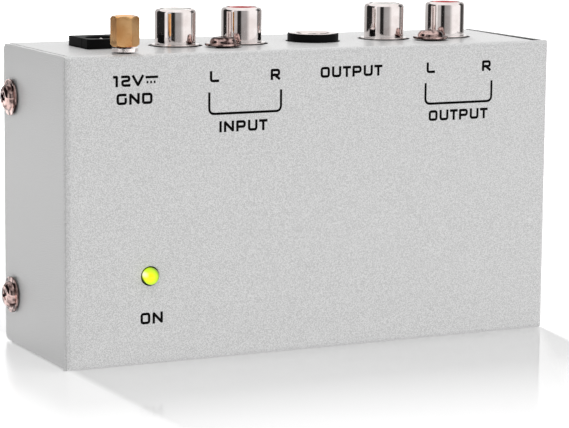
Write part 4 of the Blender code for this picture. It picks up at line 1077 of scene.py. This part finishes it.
def pin_shape(x, z, start, end):
    """A round solder pin that runs back through the board."""
    outline = [(0, end - start), (PIN_RADIUS, end - start), (PIN_RADIUS, 0), (0, 0)]
    return placed(turned(outline, closed=False, steps=24), Vector((x, start * MM, z)), (0, 1, 0))


def socket_shell(node):
    axis, collar = centre_of(node)
    low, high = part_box(node)
    foot, top = low.z / MM, high.z / MM
    seat = CASE_TOP / MM + COLLAR_LIFT
    rim = SHELL_RADIUS - RIM_BEND
    outline = [
        (SHELL_BORE, foot),
        (SHELL_BORE, top - INNER_BEND),
        *arc(SHELL_BORE + INNER_BEND, top - INNER_BEND, INNER_BEND, 180, 90, 3),
        *arc(rim, top - RIM_BEND, RIM_BEND, 90, 0),
        (SHELL_RADIUS, seat + COLLAR_THICKNESS),
        (collar / MM, seat + COLLAR_THICKNESS),
        (collar / MM, seat),
        (SHELL_RADIUS, seat),
        (SHELL_RADIUS, foot),
    ]
    shape = placed(turned(outline), axis)
    tab = pin_shape(axis.x, low.z + 2 * PIN_RADIUS * MM, SHELL_BORE + PIN_OVERLAP, high.y / MM)
    return dress(node, joined(shape, tab), edge=0.03)


for pair in ("input", "output"):
    for side in ("left", "right"):
        socket_shell(f"{pair}_{side}_shell")
print("four shells")

# %% [markdown]
# ## Insulators and spring tubes
# White insulators mark the left channel and red ones the right. A cone at the mouth leads the plug's
# pin in, and the chamber behind it leaves the spring tube room to open. The tube is turned as the
# shell is, and two crossed saw cuts then split its end into four springs.

# %% Insulators and spring tubes
MOUTH_RADIUS = 1.65
MOUTH_LIP = 0.9
MOUTH_CONE = 0.35
CHAMBER_RADIUS = 2.2
TUBE_WALL = 0.3
TUBE_FLOOR = 1.6
TUBE_TAPER = 0.2
TUBE_PIN_OVERLAP = 0.2
SPRING_SLOT = 0.3
SPRING_SLOT_DEPTH = 4.0


def socket_insulator(node):
    axis, radius = centre_of(node)
    low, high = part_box(node)
    outer, foot, top = radius / MM, low.z / MM, high.z / MM
    outline = [
        (outer, foot), (CHAMBER_RADIUS, foot), (CHAMBER_RADIUS, top - MOUTH_LIP),
        (MOUTH_RADIUS, top - MOUTH_LIP), (MOUTH_RADIUS, top - MOUTH_CONE),
        (MOUTH_RADIUS + MOUTH_CONE, top), (outer, top),
    ]
    return dress(node, placed(turned(outline), axis), edge=0.05)


def socket_contact(node):
    axis, radius = centre_of(node)
    low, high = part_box(node)
    outer, foot, top = radius / MM, low.z / MM, high.z / MM
    inner, tube_floor = outer - TUBE_WALL, foot + TUBE_FLOOR
    outline = [
        (0, foot), (outer, foot), (outer, top - TUBE_TAPER), (outer - TUBE_TAPER / 2, top),
        (inner, top), (inner, tube_floor), (0, tube_floor),
    ]
    shape = turned(outline, closed=False, steps=64)
    half, wide = SPRING_SLOT / 2 * MM, radius + MM
    start, end = (top - SPRING_SLOT_DEPTH) * MM, (top + 1) * MM
    for along, across in ((wide, half), (half, wide)):
        shape = carve(shape, box_shape((-along, -across, start), (along, across, end)))
    shape = placed(shape, axis)
    tail = pin_shape(
        axis.x, low.z + 2 * PIN_RADIUS * MM, outer - TUBE_PIN_OVERLAP, high.y / MM
    )
    return dress(node, joined(shape, tail), edge=0.04)


for pair in ("input", "output"):
    for side in ("left", "right"):
        socket_insulator(f"{pair}_{side}_insulator")
        socket_contact(f"{pair}_{side}_contact")
print("four insulators and four spring tubes")

# %% [markdown]
# ## Screws
# Six alike screws hold the case: two on top and two in each end. Each has a washer pressed onto a
# low domed head, and a cross recess for the driver. The recess is cut with a cross of two tapered
# bars, narrower at the bottom, as the tip of the driver is.

# %% Cross recess
RECESS_REACH = 1.6
RECESS_HALF = 0.42
RECESS_DEPTH = 1.5
RECESS_TAPER = (0.3, 0.55, 1)


def cross_recess(top):
    """A cross that tapers downwards, as the cutter for a driver recess."""
    cross = bmesh.new()
    for quarter in range(2):
        bar = box_shape(
            (-RECESS_REACH * MM, -RECESS_HALF * MM, (top - RECESS_DEPTH) * MM),
            (RECESS_REACH * MM, RECESS_HALF * MM, (top + 1) * MM),
        )
        deep = [vert for vert in bar.verts if vert.co.z < (top - RECESS_DEPTH / 2) * MM]
        bmesh.ops.scale(bar, verts=deep, vec=RECESS_TAPER)
        spin = Matrix.Rotation(math.radians(90 * quarter), 4, "Z")
        bmesh.ops.transform(bar, matrix=spin, verts=bar.verts)
        cross = joined(cross, bar) if not quarter else carve(cross, bar, "UNION")
    return cross


print("recess", 2 * RECESS_REACH, "mm wide and", RECESS_DEPTH, "mm deep")

# %% Washer-head screws
HEAD_RADIUS = 2.7
HEAD_HEIGHT = 1.3
HEAD_DOME = 1.2
HEAD_FILLET = 0.1
WASHER_RADIUS = 3.7
WASHER_THICKNESS = 0.5
WASHER_EDGE = 0.12
SHANK_RADIUS = 1.45


def washer_screw(node, direction, twist):
    """A screw whose head points along a direction, with its recess turned by some degrees."""
    low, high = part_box(node)
    middle = (low + high) / 2
    direction = Vector(direction)
    length = (high - low).dot(Vector([abs(part) for part in direction]))
    head = WASHER_THICKNESS + HEAD_HEIGHT
    tip = -(length / MM - head)
    outline = [
        (0, head),
        *arc(HEAD_RADIUS - HEAD_DOME, head - HEAD_DOME, HEAD_DOME, 90, 0),
        *arc(HEAD_RADIUS + HEAD_FILLET, WASHER_THICKNESS + HEAD_FILLET, HEAD_FILLET, 180, 270, 2),
        (WASHER_RADIUS, WASHER_THICKNESS),
        (WASHER_RADIUS, WASHER_EDGE),
        (WASHER_RADIUS - WASHER_EDGE, 0),
        (SHANK_RADIUS, 0),
        (SHANK_RADIUS, tip),
        (0, tip),
    ]
    shape = carve(turned(outline, closed=False), cross_recess(head))
    spin = Matrix.Rotation(math.radians(twist), 4, "Z")
    bmesh.ops.transform(shape, matrix=spin, verts=shape.verts)
    face = Vector([high[axis] if direction[axis] > 0 else low[axis] for axis in range(3)])
    seat = middle.copy()
    for axis in range(3):
        if direction[axis]:
            seat[axis] = face[axis] - direction[axis] * head * MM
    return dress(node, placed(shape, seat, direction), edge=0.08)


for side, end in (("left", -1), ("right", 1)):
    washer_screw(f"cover_screw_{side}_lower", (end, 0, 0), 20)
    washer_screw(f"cover_screw_{side}_upper", (end, 0, 0), 65)
washer_screw("input_block_screw", (0, 0, 1), 32)
washer_screw("output_block_screw", (0, 0, 1), 70)
print("six screws")

# %% [markdown]
# ## Ground terminal
# A turntable's bare ground wire is clamped between a washer and a tall brass nut on a threaded stud.
# The thread could be a stack of rings, but a real one climbs. So the outline of a single turn is spun
# while it rises, and its turns meet each other. The rod is then cut level at both ends and closed.

# %% Threaded rod
PITCH = 0.5
STUD_RADIUS = 1.3
ROOT_RADIUS = 1.06
CREST_END, ROOT_START, ROOT_END = 0.08, 0.24, 0.3
THREAD_STEPS = 32


def threaded_rod(low, high):
    """A closed threaded rod about Z between two heights in millimetres."""
    shape = bmesh.new()
    ridge = [
        (STUD_RADIUS, 0), (STUD_RADIUS, CREST_END), (ROOT_RADIUS, ROOT_START),
        (ROOT_RADIUS, ROOT_END), (STUD_RADIUS, PITCH),
    ]
    start = low - 2 * PITCH
    points = [shape.verts.new((radius * MM, 0, (start + rise) * MM)) for radius, rise in ridge]
    edges = [shape.edges.new(pair) for pair in zip(points, points[1:])]
    turns = math.ceil((high - start) / PITCH) + 1
    steps = turns * THREAD_STEPS
    bmesh.ops.spin(
        shape, geom=points + edges, cent=(0, 0, 0), axis=(0, 0, 1),
        dvec=(0, 0, PITCH / THREAD_STEPS * MM), angle=math.tau * turns, steps=steps,
    )
    bmesh.ops.remove_doubles(shape, verts=shape.verts, dist=MERGE)
    for height, normal in ((low, (0, 0, -1)), (high, (0, 0, 1))):
        bmesh.ops.bisect_plane(
            shape, geom=[*shape.verts, *shape.edges, *shape.faces], plane_co=(0, 0, height * MM),
            plane_no=normal, clear_outer=True,
        )
    rims = [edge for edge in shape.edges if edge.is_boundary]
    bmesh.ops.holes_fill(shape, edges=rims, sides=0)
    bmesh.ops.recalc_face_normals(shape, faces=shape.faces)
    return shape


print(f"thread {STUD_RADIUS - ROOT_RADIUS:.2f} mm deep")

# %% Stud of the ground terminal
STUD_HEAD = 1.9
STUD_BEND = 0.5
STUD_OVERLAP = 0.1

low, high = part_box("ground_screw")
stud_axis = Vector(((low.x + high.x) / 2, (low.y + high.y) / 2, 0))
head_radius = (high.x - low.x) / 2 / MM
foot, tip = low.z / MM, high.z / MM
stud_head = foot + STUD_HEAD
head_outline = [
    (0, foot), *arc(head_radius - STUD_BEND, foot + STUD_BEND, STUD_BEND, -90, 0, 5),
    (head_radius, stud_head), (0, stud_head),
]
rod = threaded_rod(stud_head - STUD_OVERLAP, tip)
stud = joined(rod, turned(head_outline, closed=False))
ground_screw = dress("ground_screw", placed(stud, stud_axis))
print(f"stud with {len(ground_screw.data.polygons)} faces")

# %% [markdown]
# ## Washers and nut
# Both washers are split, so that they spring. The nut is cut from a hexagonal bar, and its ends are
# turned to a cone, which leaves curved edges on its flats. It is made the same way here: a hexagonal
# bar keeps only what it shares with a turned shape, and one boolean gives the cones and the bore.

# %% Washers
NUT_BORE = 1.6
WASHER_SPLIT = 0.4


def split_ring(node, hole):
    low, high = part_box(node)
    radius = (high.y - low.y) / 2 / MM
    bottom, top = low.z / MM, high.z / MM
    shape = turned([(radius, bottom), (radius, top), (hole, top), (hole, bottom)])
    half = WASHER_SPLIT / 2 * MM
    shape = carve(shape, box_shape((0, -half, low.z - MM), (2 * radius * MM, half, high.z + MM)))
    return dress(node, placed(shape, stud_axis), edge=0.12)


split_ring("ground_washer", NUT_BORE)
split_ring("ground_lock_washer", NUT_BORE)
print("two washers, split by", WASHER_SPLIT, "mm")

# %% Hexagon nut
NUT_FLATS = 5.0
NUT_CHAMFER = 0.42
NUT_MOUTH = 0.3
NUT_SPARE = 0.6
NUT_TURN = math.radians(4.4)

low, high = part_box("ground_nut")
bottom, top = low.z / MM, high.z / MM
corner = NUT_FLATS / 2 / math.cos(math.pi / 6)
hexagon = bmesh.new()
bmesh.ops.create_cone(
    hexagon, cap_ends=True, segments=6, radius1=corner * MM, radius2=corner * MM,
    depth=(top - bottom + 2) * MM, matrix=Matrix.Rotation(NUT_TURN, 4, "Z"),
)
bmesh.ops.translate(hexagon, verts=hexagon.verts, vec=(0, 0, (top + bottom) / 2 * MM))
wide, cut = corner + NUT_SPARE, NUT_CHAMFER + NUT_SPARE
cone_outline = [
    (NUT_BORE + NUT_MOUTH, bottom), (corner - NUT_CHAMFER, bottom), (wide, bottom + cut),
    (wide, top - cut), (corner - NUT_CHAMFER, top), (NUT_BORE + NUT_MOUTH, top),
    (NUT_BORE, top - NUT_MOUTH), (NUT_BORE, bottom + NUT_MOUTH),
]
nut_shape = carve(hexagon, turned(cone_outline), "INTERSECT")
dress("ground_nut", placed(nut_shape, stud_axis), edge=0.2, steps=4)
print(f"nut {NUT_FLATS} mm across its flats")

# %% [markdown]
# ## Stereo and power sockets
# The headphone-size socket shows a black moulded ring with a plated bushing inside it. The power
# socket is a square moulding with a round bore, and a seam where its two halves meet. Both bodies
# are merged copies of their solids. The seam is a shallow groove, cut with a thin frame of a box.

# %% Bodies of the sockets
SEAM_PLACE = 1.0
SEAM_WIDTH = 0.16
SEAM_DEPTH = 0.14

dress("stereo_jack_body", solid_shape("stereo_jack_body"), edge=0.14, steps=3)
low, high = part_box("power_jack_body")
groove = box_shape(
    (low.x - MM, SEAM_PLACE * MM, low.z - MM),
    (high.x + MM, (SEAM_PLACE + SEAM_WIDTH) * MM, high.z + MM),
)
kept = box_shape(
    (low.x + SEAM_DEPTH * MM, low.y, low.z + SEAM_DEPTH * MM),
    (high.x - SEAM_DEPTH * MM, high.y, high.z - SEAM_DEPTH * MM),
)
body = carve(solid_shape("power_jack_body"), carve(groove, kept))
dress("power_jack_body", body, edge=0.1)
print("power socket's seam", SEAM_WIDTH, "mm wide")

# %% Bushing of the stereo socket
BUSHING_BORE = 3.25
BUSHING_STEP = 0.9
BUSHING_BEND = 0.75
BUSHING_BACK = 3.9
LIP_RADIUS = 5.05
LIP_CHAMFER, LIP_DROP = 0.08, 0.05
LIP_LIFT = 0.03

low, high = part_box("stereo_jack_bushing")
axis, bushing_radius = centre_of("stereo_jack_bushing")
outer, foot, top = bushing_radius / MM, low.z / MM, high.z / MM
nose_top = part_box("stereo_jack_body")[1].z / MM
lip = nose_top + LIP_LIFT
bushing_outline = [
    (outer, foot), (BUSHING_BORE, foot), (BUSHING_BORE, top - BUSHING_STEP),
    *arc(BUSHING_BORE + BUSHING_BEND, top - BUSHING_BEND, BUSHING_BEND, 180, 110, 6),
    (LIP_RADIUS - LIP_CHAMFER, top), (LIP_RADIUS, top - LIP_DROP), (LIP_RADIUS, lip), (outer, lip),
]
bushing = placed(turned(bushing_outline), axis)
tail = pin_shape(axis.x, low.z + 2 * PIN_RADIUS * MM, BUSHING_BACK, high.y / MM)
dress("stereo_jack_bushing", joined(bushing, tail), edge=0.04)
print(f"bushing {2 * LIP_RADIUS} mm across its lip")

# %% [markdown]
# ## Lamp
# The lamp is a rod of clear resin with a domed end that stands out through the front, and a small
# flange at its back. It is one turned outline, laid so that its own axis points forward.

# %% Lamp
LAMP_RADIUS = 1.74
FLANGE_RADIUS = 2.0
FLANGE_THICKNESS = 1.0

length = (lamp_high.y - lamp_low.y) / MM
lamp_outline = [
    *arc(0, length - LAMP_RADIUS, LAMP_RADIUS, 90, 0, 16), (LAMP_RADIUS, FLANGE_THICKNESS),
    (FLANGE_RADIUS, FLANGE_THICKNESS), (FLANGE_RADIUS, 0), (0, 0),
]
lamp_place = Vector((LAMP_AXIS.x, lamp_high.y, LAMP_AXIS.z))
lamp = placed(turned(lamp_outline, closed=False), lamp_place, (0, -1, 0))
dress("power_lamp", lamp, edge=0.08)
print(f"lamp {length:.1f} mm long")

# %% [markdown]
# ## Sizes
# The finished pieces should fill the same box as the solids.
